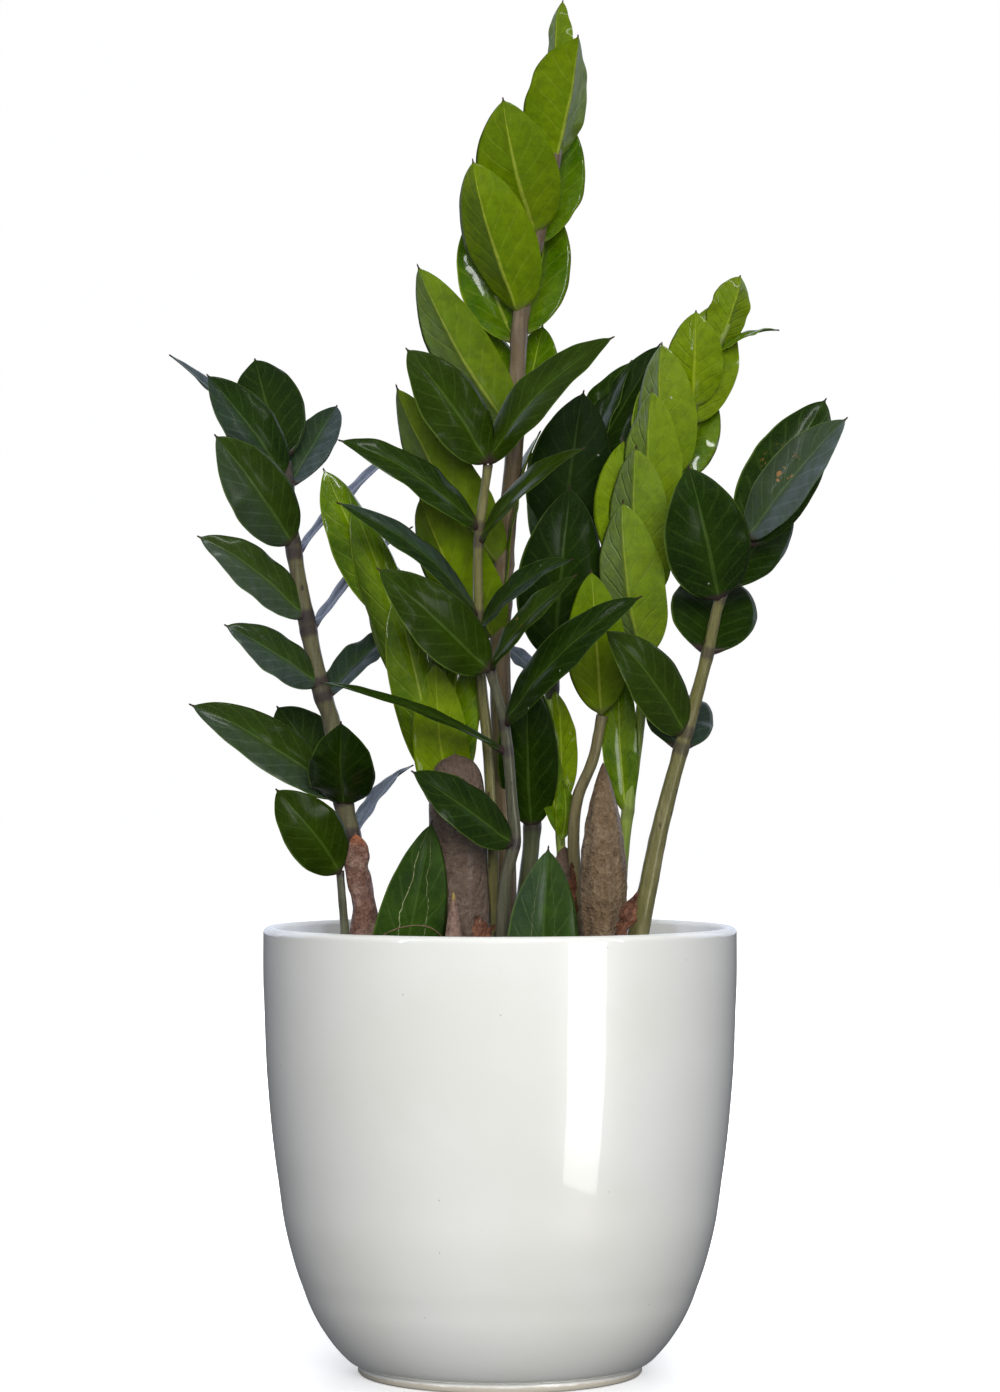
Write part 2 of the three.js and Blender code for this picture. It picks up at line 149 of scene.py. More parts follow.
class Bench:
    """A node tree being wired up."""

    def __init__(self, tree: bpy.types.NodeTree) -> None:
        """Start on a node tree."""
        self.tree = tree

    def node(self, kind: str, settings: dict | None = None, feeds: dict | None = None) -> bpy.types.Node:
        """Add one node.

        Args:
            kind: The node's type name.
            settings: Properties set first, such as a Math node's operation.
            feeds: Socket name or number to a value or a Wire.

        Returns:
            The node.
        """
        made = self.tree.nodes.new(kind)
        for key, value in (settings or {}).items():
            setattr(made, key, value)
        for key, value in (feeds or {}).items():
            if isinstance(value, Wire):
                self.tree.links.new(value.socket, made.inputs[key])
            else:
                made.inputs[key].default_value = value
        return made

    def wire(self, kind: str, settings: dict | None = None, feeds: dict | None = None,
             output: Union[int, str] = 0) -> Wire:
        """Add one node and take one of its outputs.

        Args:
            kind: The node's type name.
            settings: Properties set first.
            feeds: Socket name or number to a value or a Wire.
            output: The output's name or number.

        Returns:
            The output as a Wire.
        """
        return Wire(self, self.node(kind, settings, feeds).outputs[output])

    def math(self, operation: str, *terms: Feed) -> Wire:
        """Add a Math node, or a Vector Math node where a term is a vector.

        Args:
            operation: The node's operation.
            terms: Its values or wires.

        Returns:
            The result.
        """
        vectors = [isinstance(term, Wire) and term.is_vector or isinstance(term, (tuple, Vector))
                   for term in terms]
        if not any(vectors):
            return self.wire("ShaderNodeMath", {"operation": operation}, dict(enumerate(terms)))
        if operation == "MULTIPLY" and len(terms) == 2 and not all(vectors):
            body, factor = terms if vectors[0] else reversed(terms)
            return self.wire("ShaderNodeVectorMath", {"operation": "SCALE"}, {0: body, "Scale": factor})
        return self.wire("ShaderNodeVectorMath", {"operation": operation}, dict(enumerate(terms)))

    def smooth(self, value: Wire, low: float, high: float, start: float = 0.0, end: float = 1.0) -> Wire:
        """Ease from start to end while the value goes from low to high.

        Args:
            value: What is followed.
            low: Where easing starts.
            high: Where it ends.
            start: The result at low.
            end: The result at high.

        Returns:
            The eased value.
        """
        return self.wire("ShaderNodeMapRange", {"interpolation_type": "SMOOTHSTEP"},
                         {0: value, 1: low, 2: high, 3: start, 4: end})

    def blend(self, factor: Feed, first: Feed, second: Feed, mode: str = "MIX") -> Wire:
        """Mix two colours.

        Args:
            factor: Share of the second.
            first: Colour or wire.
            second: Colour or wire.
            mode: The blend type.

        Returns:
            The mixed colour.
        """
        def full(colour: Feed) -> Feed:
            """Give a plain colour its fourth number."""
            return colour if isinstance(colour, Wire) else (*colour, 1)

        return self.wire("ShaderNodeMix", {"data_type": "RGBA", "blend_type": mode, "clamp_factor": True},
                         {0: factor, 6: full(first), 7: full(second)}, 2)

    def mottle(self, place: Wire, scale: float, detail: float = 2.0, rough: float = 0.5) -> Wire:
        """Cloudy noise of about 0 to 1.

        Args:
            place: Where it is read.
            scale: Cells per metre.
            detail: Octaves.
            rough: Weight of the fine octaves.

        Returns:
            The noise.
        """
        return self.wire("ShaderNodeTexNoise", {},
                         {"Vector": place, "Scale": scale, "Detail": detail, "Roughness": rough})

    def flecks(self, place: Wire, scale: float, size: float, keep: float) -> Wire:
        """Sparse round dots.

        Args:
            place: Where they are read.
            scale: Cells per metre.
            size: A dot's radius as a share of a cell.
            keep: Share of the cells that hold one.

        Returns:
            1 in a dot, 0 outside.
        """
        cells = self.node("ShaderNodeTexVoronoi", {}, {"Vector": place, "Scale": scale})
        near = self.smooth(Wire(self, cells.outputs["Distance"]), size * 0.5, size, 1.0, 0.0)
        pick = self.wire("ShaderNodeSeparateColor", {}, {0: Wire(self, cells.outputs["Color"])})
        return near * self.math("LESS_THAN", pick, keep)

    def attribute(self, name: str) -> Wire:
        """Read a number that the piece's mesh carries."""
        return self.wire("ShaderNodeAttribute", {"attribute_name": name}, output="Fac")

    def place(self) -> Wire:
        """Read the place on the object, in metres."""
        return self.wire("ShaderNodeTexCoord", output="Object")

    def stretched(self, place: Wire, along: Point) -> Wire:
        """Stretch a place before a pattern is read there.

        Args:
            place: The place.
            along: Scale of each axis.

        Returns:
            The stretched place.
        """
        return self.wire("ShaderNodeMapping", {}, {"Vector": place, "Scale": along})


@dataclass(frozen=True)
class Surface:
    """What every finish shares: a name, constant shader numbers and the wiring of its patterns."""

    name: str
    coat_roughness: float = 0.2
    specular: float = 0.5
    bump_depth: float = 0.0003
    bump_strength: float = 0.5
    subsurface: float = 0.0

    def paint(self, bench: Bench) -> dict[str, Feed]:
        """Wire the patterns.

        Args:
            bench: Where they are wired.

        Returns:
            Shader socket names to wires, and "Height" for the relief.
        """
        raise NotImplementedError

    def material(self) -> bpy.types.Material:
        """Make the material, or return it where it exists.

        Returns:
            The material.
        """
        kept = bpy.data.materials.get(self.name)
        if kept is not None:
            return kept
        made = bpy.data.materials.new(self.name)
        made.use_nodes = True
        bench = Bench(made.node_tree)
        shader = made.node_tree.nodes["Principled BSDF"]
        feeds = self.paint(bench)
        height = feeds.pop("Height", None)
        if height is not None:
            relief = bench.wire("ShaderNodeBump", {}, {"Strength": self.bump_strength,
                                                       "Distance": self.bump_depth, "Height": height})
            feeds["Normal"] = relief
        for socket, feed in feeds.items():
            if isinstance(feed, Wire):
                made.node_tree.links.new(feed.socket, shader.inputs[socket])
            else:
                shader.inputs[socket].default_value = feed
        shader.inputs["Coat Roughness"].default_value = self.coat_roughness
        shader.inputs["Specular IOR Level"].default_value = self.specular
        if self.subsurface:
            shader.inputs["Subsurface Weight"].default_value = self.subsurface
            shader.inputs["Subsurface Radius"].default_value = (0.4, 1.0, 0.12)
            shader.inputs["Subsurface Scale"].default_value = 0.0012
        return made


# ---------------------------------------------------------------- finishes


@dataclass(frozen=True)
class LeafFinish(Surface):
    """A waxy leaflet: ribs, rising veins, lighter margin, matte underside, brown tip, and painted sheen and
    painted shade in its colour.
    """

    blade: Colour = srgb(19, 40, 4)
    patch: Colour = srgb(28, 50, 5)
    heart: Colour = srgb(48, 74, 4)
    rib: Colour = srgb(70, 96, 36)
    margin: Colour = srgb(92, 116, 46)
    under: Colour = srgb(62, 74, 62)
    under_rib: Colour = srgb(96, 110, 84)
    stem: Colour = srgb(62, 46, 48)
    gloss: float = 0.34
    under_gloss: float = 0.5
    vein: float = 0.28
    coat: float = 0.35

    def paint(self, bench: Bench) -> dict[str, Feed]:
        """Wire the leaf's patterns.

        Args:
            bench: Where they are wired.

        Returns:
            Socket names to wires.
        """
        share, across = bench.attribute("share"), bench.attribute("across")
        under, seed = bench.attribute("underside"), bench.attribute("seed")
        out = abs(across)
        shift = bench.wire("ShaderNodeCombineXYZ", {}, {0: seed * 0.31, 1: seed * 0.17, 2: seed * 0.23})
        place = bench.place() + shift
        clouds, fine = bench.mottle(place, 55, 3.0, 0.6), bench.mottle(place, 700, 2.0)
        grain = bench.mottle(place, 2600, 1.0)
        climb = share * 8.0 - out ** 0.8 * 2.1 + clouds * 0.6 + bench.math("GREATER_THAN", across, 0.0) * 0.5
        ridge = abs(bench.math("FRACT", climb) - 0.5)
        veins = bench.smooth(ridge, 0.0, 0.13, 1.0, 0.0)
        veins = veins * bench.smooth(out, 0.05, 0.2) * bench.smooth(out, 0.98, 0.7)
        rib_width = (1.0 - share) ** 1.5 * 0.055
        rib = bench.smooth(out - rib_width, 0.005, 0.03, 1.0, 0.0)
        heart = bench.smooth(out, 0.05, 0.5, 1.0, 0.0) * bench.smooth(share, 0.98, 0.5)
        edge = bench.smooth(out, 0.93, 0.985)
        top = bench.blend(bench.smooth(clouds, 0.38, 0.66), self.blade, self.patch)
        top = bench.blend(heart * 0.4, top, self.heart)
        top = bench.blend(veins * self.vein, top, self.rib)
        top = bench.blend(rib * 0.75, top, self.rib)
        top = bench.blend(edge * 0.8, top, self.margin)
        below = bench.blend(bench.smooth(clouds, 0.35, 0.7) * 0.5, self.under, self.patch)
        below = bench.blend(veins * self.vein * 0.8, below, self.under_rib)
        below = bench.blend(rib * 0.85, below, self.under_rib)
        colour = bench.blend(under, top, below)
        colour = bench.blend(bench.smooth(fine, 0.35, 0.7) * 0.2, colour, self.heart)
        shade = bench.smooth(bench.mottle(place, 230, 4.0, 0.7), 0.35, 0.7)
        colour = bench.blend(0.55 * shade, colour, bench.blend(0.5, colour, (0.0, 0.004, 0.0)))
        colour = bench.blend(bench.smooth(grain, 0.45, 0.7) * 0.12, colour, self.margin)
        nicks = bench.smooth(bench.mottle(place, 330, 2.0, 0.5), 0.6, 0.64)
        scar = bench.attribute("scar") * nicks * bench.smooth(abs(share - 0.5), 0.06, 0.14, 1.0, 0.0)
        scar = scar * bench.smooth(abs(across + 0.25), 0.25, 0.5, 1.0, 0.0)
        colour = bench.blend(scar * 0.85, colour, srgb(168, 116, 62))
        dust = bench.flecks(place, 330, 0.2, 0.007)
        colour = bench.blend(dust * 0.7, colour, srgb(214, 214, 200))
        # Painted sheen: a bluish-grey reflection painted into the colour, on one half of the leaflet or all
        # of it, broken by streaks and veins.
        painted_sheen = bench.attribute("painted_sheen")
        sheen_side = bench.smooth(across * bench.math("SIGN", painted_sheen), -0.15, 0.3)
        painted_sheen = abs(painted_sheen)
        sheen_share = painted_sheen * (painted_sheen + (1.0 - painted_sheen) * sheen_side)
        streaks = bench.smooth(bench.mottle(bench.stretched(place, (1, 1, 0.5)), 260, 3.0, 0.6), 0.3, 0.7)
        sheen_share = sheen_share * (0.55 + streaks * 0.35 + veins * 0.25)
        colour = bench.blend(sheen_share, colour, srgb(126, 134, 162))
        drift = (clouds - 0.5) * 0.5 + (fine - 0.5) * 0.06
        scratch = bench.smooth(abs(across + 0.1 + share * 0.35 + drift), 0.0, 0.018, 1.0, 0.0)
        scratch = scratch + bench.smooth(abs(across - 0.65 + share * 0.5 - drift), 0.0, 0.013, 1.0, 0.0) * 0.7
        scratch = scratch * bench.smooth(grain + fine, 0.75, 0.95) * bench.attribute("scratch")
        colour = bench.blend(scratch * 0.85, colour, srgb(190, 190, 146))
        stem = bench.smooth(share + clouds * 0.02, 0.035, 0.1, 1.0, 0.0)
        colour = bench.blend(stem, colour, self.stem)
        colour = bench.blend(bench.smooth(share, 0.962, 0.982), colour, srgb(58, 44, 34))
        # A positive tone is the leaflet's own younger yellow-green. A negative tone is painted shade,
        # darkening leaflets that sit in shade toward near black.
        tone_and_shade = bench.attribute("tone_and_shade")
        colour = bench.blend(bench.math("MAXIMUM", tone_and_shade, 0.0), colour, srgb(120, 142, 20))
        colour = bench.blend(bench.math("MAXIMUM", -tone_and_shade, 0.0), colour, srgb(14, 22, 16))
        rough = self.gloss + under * (self.under_gloss - self.gloss) + (clouds - 0.5) * 0.16 + scar * 0.3
        relief = veins * -0.35 + fine * 0.25 + grain * 0.12 + clouds * 1.6 - scar * 0.6 + dust * 0.3
        return {"Base Color": colour, "Roughness": rough, "Height": relief,
                "Coat Weight": (1.0 - under * 0.6) * self.coat * bench.smooth(fine, 0.2, 0.7, 0.75, 1.0)}


@dataclass(frozen=True)
class StalkFinish(Surface):
    """A fleshy stalk: lengthwise streaks, freckles and dark swollen joints."""

    flesh: Colour = srgb(106, 104, 58)
    streak: Colour = srgb(74, 70, 44)
    joint: Colour = srgb(48, 36, 44)
    freckle: Colour = srgb(46, 36, 32)
    pale: Colour = srgb(146, 138, 98)
    freckles: float = 0.16
    gloss: float = 0.36
    joint_weight: float = 0.6

    def paint(self, bench: Bench) -> dict[str, Feed]:
        """Wire the stalk's patterns.

        Args:
            bench: Where they are wired.

        Returns:
            Socket names to wires.
        """
        place, joint = bench.place(), bench.attribute("joint")
        fibres = bench.mottle(bench.stretched(place, (1, 1, 0.05)), 900, 3.0, 0.6)
        broad = bench.mottle(bench.stretched(place, (1, 1, 0.3)), 160, 2.0)
        fine = bench.mottle(place, 1500, 2.0)
        colour = bench.blend(bench.smooth(fibres, 0.42, 0.7) * 0.6, self.flesh, self.streak)
        colour = bench.blend(bench.smooth(broad, 0.5, 0.75) * 0.6, colour, self.pale)
        colour = bench.blend(bench.smooth(fine, 0.3, 0.8) * 0.25, colour, self.pale)
        dots = bench.flecks(bench.stretched(place, (1, 1, 0.45)), 420, 0.34, self.freckles)
        colour = bench.blend(dots * 0.8, colour, self.freckle)
        ring = bench.smooth(joint + (broad - 0.5) * 0.5, 0.35, 0.85)
        colour = bench.blend(ring * self.joint_weight, colour, self.joint)
        foot = bench.smooth(bench.attribute("share"), 0.0, 0.14, 1.0, 0.0)
        colour = bench.blend(foot * 0.5, colour, self.joint)
        return {"Base Color": colour, "Roughness": self.gloss + (fibres - 0.5) * 0.3 + ring * 0.1,
                "Height": fibres * 0.9 + fine * 0.3 - dots * 0.5, "Coat Weight": 0.15 + broad * 0.25}


@dataclass(frozen=True)
class PaperFinish(Surface):
    """A dry scale leaf: long fibres, crackle, freckles, a paler edge, and blisters with painted shade in
    their hollows and painted highlights on their tops.
    """

    paper: Colour = srgb(116, 100, 88)
    fibre_and_shade: Colour = srgb(88, 74, 64)
    fleck_and_highlight: Colour = srgb(140, 124, 110)
    tip: Colour = srgb(84, 68, 58)
    fleck_share: float = 0.3
    wear: float = 0.3
    bump_depth: float = 0.001
    bump_strength: float = 1.0

    def paint(self, bench: Bench) -> dict[str, Feed]:
        """Wire the scale leaf's patterns.

        Args:
            bench: Where they are wired.

        Returns:
            Socket names to wires.
        """
        place, share = bench.place(), bench.attribute("share")
        fibres = bench.mottle(bench.stretched(place, (1, 1, 0.06)), 700, 4.0, 0.65)
        clouds = bench.mottle(place, 90, 4.0, 0.6)
        fine = bench.mottle(place, 2200, 2.0)
        blister = bench.mottle(bench.stretched(place, (1, 1, 1.2)), 400, 4.0, 0.6)
        colour = bench.blend(bench.smooth(fibres, 0.3, 0.6) * 0.22 + 0.78, self.fibre_and_shade, self.paper)
        colour = bench.blend(bench.smooth(clouds, 0.45, 0.7) * self.wear, colour, self.fleck_and_highlight)
        # Painted shade in the blisters' hollows and a painted highlight on their tops.
        colour = bench.blend(bench.smooth(blister, 0.5, 0.34) * 0.5, colour, self.fibre_and_shade)
        colour = bench.blend(bench.smooth(blister, 0.54, 0.66) * 0.35, colour, self.fleck_and_highlight)
        dots = bench.smooth(fine, 0.56, 0.66) * self.fleck_share
        colour = bench.blend(dots, colour, self.fleck_and_highlight)
        dark = bench.flecks(place, 1100, 0.42, 0.3)
        colour = bench.blend(dark * 0.55, colour, self.fibre_and_shade)
        colour = bench.blend(bench.smooth(share + clouds * 0.06, 0.9, 1.02) * 0.8, colour, self.tip)
        return {"Base Color": colour, "Roughness": 0.46 + (clouds - 0.5) * 0.3, "Coat Weight": clouds * 0.3,
                "Height": fibres * 0.5 + fine * 0.3 + clouds * 1.4 + blister * 2.2}


@dataclass(frozen=True)
class GlazeFinish(Surface):
    """Warm white glaze with pinholes and iron specks, over a biscuit foot."""

    white: Colour = srgb(249, 249, 244)
    cream: Colour = srgb(245, 244, 237)
    biscuit: Colour = srgb(206, 198, 182)

    def paint(self, bench: Bench) -> dict[str, Feed]:
        """Wire the glaze's patterns.

        Args:
            bench: Where they are wired.

        Returns:
            Socket names to wires.
        """
        place = bench.place()
        height = bench.wire("ShaderNodeSeparateXYZ", {}, {0: place}, "Z")
        clouds = bench.mottle(place, 14, 3.0)
        peel = bench.mottle(place, 190, 2.0)
        grain = bench.mottle(place, 1600, 2.0)
        colour = bench.blend(bench.smooth(clouds, 0.35, 0.7), self.white, self.cream)
        iron = bench.flecks(place, 120, 0.05, 0.4)
        colour = bench.blend(iron * 0.5, colour, srgb(142, 126, 104))
        pores = bench.flecks(place, 260, 0.07, 0.14)
        colour = bench.blend(pores * 0.3, colour, srgb(170, 164, 150))
        bare = bench.smooth(height + (peel - 0.5) * 0.0012, 0.0022, 0.0032, 1.0, 0.0)
        colour = bench.blend(bare, colour, self.biscuit)
        return {"Base Color": colour, "Roughness": 0.3 + bare * 0.4 + (grain - 0.5) * 0.06,
                "Coat Weight": 1.0 - bare, "Height": peel * 0.8 + clouds * 1.2 - pores * 0.7 + bare * grain}


@dataclass(frozen=True)
class SoilFinish(Surface):
    """Dark peaty potting mix with pale grit."""

    peat: Colour = srgb(44, 32, 24)
    bark: Colour = srgb(84, 60, 42)
    grit: Colour = srgb(196, 188, 172)

    def paint(self, bench: Bench) -> dict[str, Feed]:
        """Wire the soil's patterns.

        Args:
            bench: Where they are wired.

        Returns:
            Socket names to wires.
        """
        place, tint = bench.place(), bench.attribute("tint")
        clouds, fine = bench.mottle(place, 120, 4.0, 0.65), bench.mottle(place, 1100, 3.0, 0.6)
        colour = bench.blend(bench.smooth(clouds, 0.42, 0.68), self.peat, self.bark)
        colour = bench.blend(bench.smooth(tint, 0.55, 0.9) * 0.8, colour, self.bark)
        colour = bench.blend(bench.smooth(tint, 0.955, 0.96), colour, self.grit)
        colour = bench.blend(bench.smooth(fine, 0.3, 0.7) * 0.35, colour, self.peat)
        return {"Base Color": colour, "Roughness": 0.85 + (fine - 0.5) * 0.2, "Height": clouds + fine * 0.6}


class Kind(Enum):
    """The finishes that stalks and leaflets come in: material slot and finish."""

    OLIVE = ("olive_stalk", StalkFinish("olive stalk"))
    BROWN = ("brown_stalk", StalkFinish("brown stalk", flesh=srgb(108, 92, 70), streak=srgb(70, 57, 42),
                                        pale=srgb(142, 126, 102), freckles=0.06, gloss=0.42,
                                        joint_weight=0.15))
    PURPLE = ("purple_stalk", StalkFinish("purple stalk", flesh=srgb(80, 80, 62), streak=srgb(46, 44, 42),
                                          pale=srgb(118, 118, 92), freckles=0.1))
    REED = ("brown_stalk", StalkFinish("reed stalk", flesh=srgb(112, 104, 70), streak=srgb(78, 66, 46),
                                       pale=srgb(140, 132, 98), freckles=0.06, gloss=0.42, joint_weight=0.15))
    # Painted shade: a darker copy of the olive stalk finish, for the stalk that stands at the back.
    PAINTED_SHADE_OLIVE = ("olive_stalk", StalkFinish("shaded stalk", flesh=srgb(66, 72, 48), streak=srgb(44, 48, 34),
                                       pale=srgb(92, 96, 68), freckles=0.2))
    LOAM = ("olive_stalk", StalkFinish("dull olive stalk", flesh=srgb(94, 90, 64), streak=srgb(58, 52, 42),
                                       pale=srgb(130, 126, 92), freckles=0.12, joint_weight=0.8))
    TENDER = ("young_shoot", StalkFinish("tender stalk", flesh=srgb(122, 142, 58), streak=srgb(92, 116, 40),
                                         joint=srgb(74, 84, 44), joint_weight=0.4, pale=srgb(164, 176, 96),
                                         freckles=0.05, freckle=srgb(70, 86, 34)))
    DARK = ("dark_leaf", LeafFinish("dark leaf", specular=0.07, coat=0.24, coat_roughness=0.16))
    MID = ("mid_leaf", LeafFinish("mid leaf", blade=srgb(32, 56, 10), patch=srgb(46, 74, 16), vein=0.4,
                                  coat=0.3, specular=0.12, coat_roughness=0.24, bump_depth=0.0008,
                                  bump_strength=1.0))
    YOUNG = ("young_leaf", LeafFinish("young leaf", blade=srgb(54, 92, 0), patch=srgb(80, 112, 0),
                                      heart=srgb(100, 128, 0), rib=srgb(150, 168, 60),
                                      margin=srgb(140, 160, 30), under=srgb(106, 130, 0),
                                      under_rib=srgb(158, 172, 60), stem=srgb(100, 106, 50), gloss=0.26,
                                      under_gloss=0.58, vein=0.16, coat=0.6, specular=0.16,
                                      coat_roughness=0.06, bump_depth=0.0005, bump_strength=0.7))
    SHOOT = ("young_shoot", LeafFinish("shoot leaf", blade=srgb(58, 94, 0), patch=srgb(96, 126, 2),
                                       heart=srgb(112, 138, 2), rib=srgb(158, 176, 70),
                                       margin=srgb(150, 170, 50), under=srgb(112, 136, 0),
                                       under_rib=srgb(150, 168, 40), stem=srgb(110, 124, 50), gloss=0.2,
                                       under_gloss=0.5, vein=0.2, coat=0.9, specular=0.16,
                                       coat_roughness=0.07, bump_depth=0.0009, bump_strength=0.8))
    MAUVE = ("mauve_scale", PaperFinish("mauve scale", paper=srgb(108, 90, 77), fibre_and_shade=srgb(70, 55, 47),
                                        fleck_and_highlight=srgb(146, 128, 112)))
    DRY = ("dry_scale", PaperFinish("dry scale", paper=srgb(124, 88, 74), fibre_and_shade=srgb(66, 44, 38),
                                    fleck_and_highlight=srgb(192, 164, 148), tip=srgb(186, 108, 62), wear=0.6))
    CURL = ("dry_scale", PaperFinish("curled scale", paper=srgb(90, 54, 36), fibre_and_shade=srgb(50, 26, 18),
                                     fleck_and_highlight=srgb(168, 112, 82), tip=srgb(64, 38, 28), wear=0.5))
    TAN = ("tan_scale", PaperFinish("tan scale", paper=srgb(119, 97, 71), fibre_and_shade=srgb(70, 52, 34),
                                    fleck_and_highlight=srgb(168, 148, 120), tip=srgb(84, 66, 46), fleck_share=0.2))
    PINK = ("pink_scale", PaperFinish("pink scale", paper=srgb(142, 114, 100), fibre_and_shade=srgb(98, 72, 64),
                                      fleck_and_highlight=srgb(182, 154, 140), tip=srgb(206, 178, 70), fleck_share=0.2))

    @property
    def slot(self) -> str:
        """The record's material slot."""
        return self.value[0]

    @property
    def finish(self) -> Surface:
        """The finish."""
        return self.value[1]


# ---------------------------------------------------------------- formers


class Former:
    """A Geometry Nodes tree with named inputs, run over a mesh and turned into a plain one."""

    def __init__(self, name: str) -> None:
        """Start an empty tree.

        Args:
            name: The tree's name.
        """
        self.tree = bpy.data.node_groups.new(name, "GeometryNodeTree")
        self.bench = Bench(self.tree)
        self.keys: dict[str, str] = {}
        self.tree.interface.new_socket("Geometry", in_out="INPUT", socket_type="NodeSocketGeometry")
        self.tree.interface.new_socket("Geometry", in_out="OUTPUT", socket_type="NodeSocketGeometry")
        self.entry = self.tree.nodes.new("NodeGroupInput")

    def knob(self, name: str, kind: str = "Float") -> Wire:
        """Add a named input.

        Args:
            name: Its name.
            kind: Float, Int, Vector or Material.

        Returns:
            The input as a Wire.
        """
        made = self.tree.interface.new_socket(name, in_out="INPUT", socket_type=f"NodeSocket{kind}")
        self.keys[name] = made.identifier
        return Wire(self.bench, self.entry.outputs[name])

    def shape(self, kind: str, settings: dict | None = None, feeds: dict | None = None) -> Wire:
        """Add a node and take its geometry."""
        return self.bench.wire(kind, settings, feeds)

    def keep(self, geometry: Wire, name: str, value: Feed, domain: str = "POINT") -> Wire:
        """Store a number on the mesh.

        Args:
            geometry: The mesh.
            name: The attribute's name.
            value: Its value.
            domain: POINT, FACE or CORNER.

        Returns:
            The mesh that carries it.
        """
        return self.shape("GeometryNodeStoreNamedAttribute", {"data_type": "FLOAT", "domain": domain},
                          {"Geometry": geometry, "Name": name, "Value": value})

    def grid(self, columns: Feed, rows: Feed) -> tuple[Wire, Wire, Wire]:
        """Lay out a unit grid.

        Args:
            columns: Points across.
            rows: Points along.

        Returns:
            The mesh, the share across and the share along, each from 0 to 1.
        """
        mesh = self.shape("GeometryNodeMeshGrid", {}, {"Size X": 1.0, "Size Y": 1.0, "Vertices X": columns,
                                                       "Vertices Y": rows})
        spot = self.bench.node("ShaderNodeSeparateXYZ", {}, {0: self.bench.wire("GeometryNodeInputPosition")})
        return mesh, Wire(self.bench, spot.outputs[0]) + 0.5, Wire(self.bench, spot.outputs[1]) + 0.5

    def move(self, geometry: Wire, position: Wire) -> Wire:
        """Put every point at a position."""
        return self.shape("GeometryNodeSetPosition", {}, {"Geometry": geometry, "Position": position})

    def close(self, geometry: Wire, join: float = 0.000002) -> None:
        """End the tree: join doubles, smooth, realise and set the finish.

        Args:
            geometry: The mesh.
            join: Distance under which points are joined, in metres.
        """
        finish = self.knob("Finish", "Material")
        joined = self.shape("GeometryNodeMergeByDistance", {}, {"Geometry": geometry, "Distance": join})
        smooth = self.shape("GeometryNodeSetShadeSmooth", {}, {"Geometry": joined})
        real = self.shape("GeometryNodeRealizeInstances", {}, {"Geometry": smooth})
        dressed = self.shape("GeometryNodeSetMaterial", {}, {"Geometry": real, "Material": finish})
        leave = self.tree.nodes.new("NodeGroupOutput")
        self.tree.links.new(dressed.socket, leave.inputs[0])

    def run(self, name: str, finish: Surface, values: dict,
            mesh: bpy.types.Mesh | None = None) -> bpy.types.Object:
        """Run the tree and keep its result as a plain mesh.

        Args:
            name: The piece's name.
            finish: Its finish.
            values: Input names to values.
            mesh: The mesh that enters the tree.

        Returns:
            The piece's object.
        """
        made = bpy.data.objects.new(name, mesh or bpy.data.meshes.new(name))
        bpy.context.scene.collection.objects.link(made)
        modifier = made.modifiers.new("form", "NODES")
        modifier.node_group = self.tree
        for key, value in {**values, "Finish": finish.material()}.items():
            modifier[self.keys[key]] = value
        graph = bpy.context.evaluated_depsgraph_get()
        plain = bpy.data.meshes.new_from_object(made.evaluated_get(graph), depsgraph=graph)
        made.modifiers.clear()
        made.data = plain
        plain.name = name
        face_outward(plain)
        return made


def face_outward(mesh: bpy.types.Mesh) -> None:
    """Turn a closed mesh the right way out, by the sign of its volume.

    Args:
        mesh: The mesh, which is changed in place.
    """
    mesh.calc_loop_triangles()
    points = np.empty(len(mesh.vertices) * 3)
    mesh.vertices.foreach_get("co", points)
    corners = np.empty(len(mesh.loop_triangles) * 3, dtype=np.int32)
    mesh.loop_triangles.foreach_get("vertices", corners)
    a, b, c = points.reshape(-1, 3)[corners.reshape(-1, 3)].transpose(1, 0, 2)
    if np.einsum("ij,ij->i", a, np.cross(b, c)).sum() < 0:
        mesh.flip_normals()


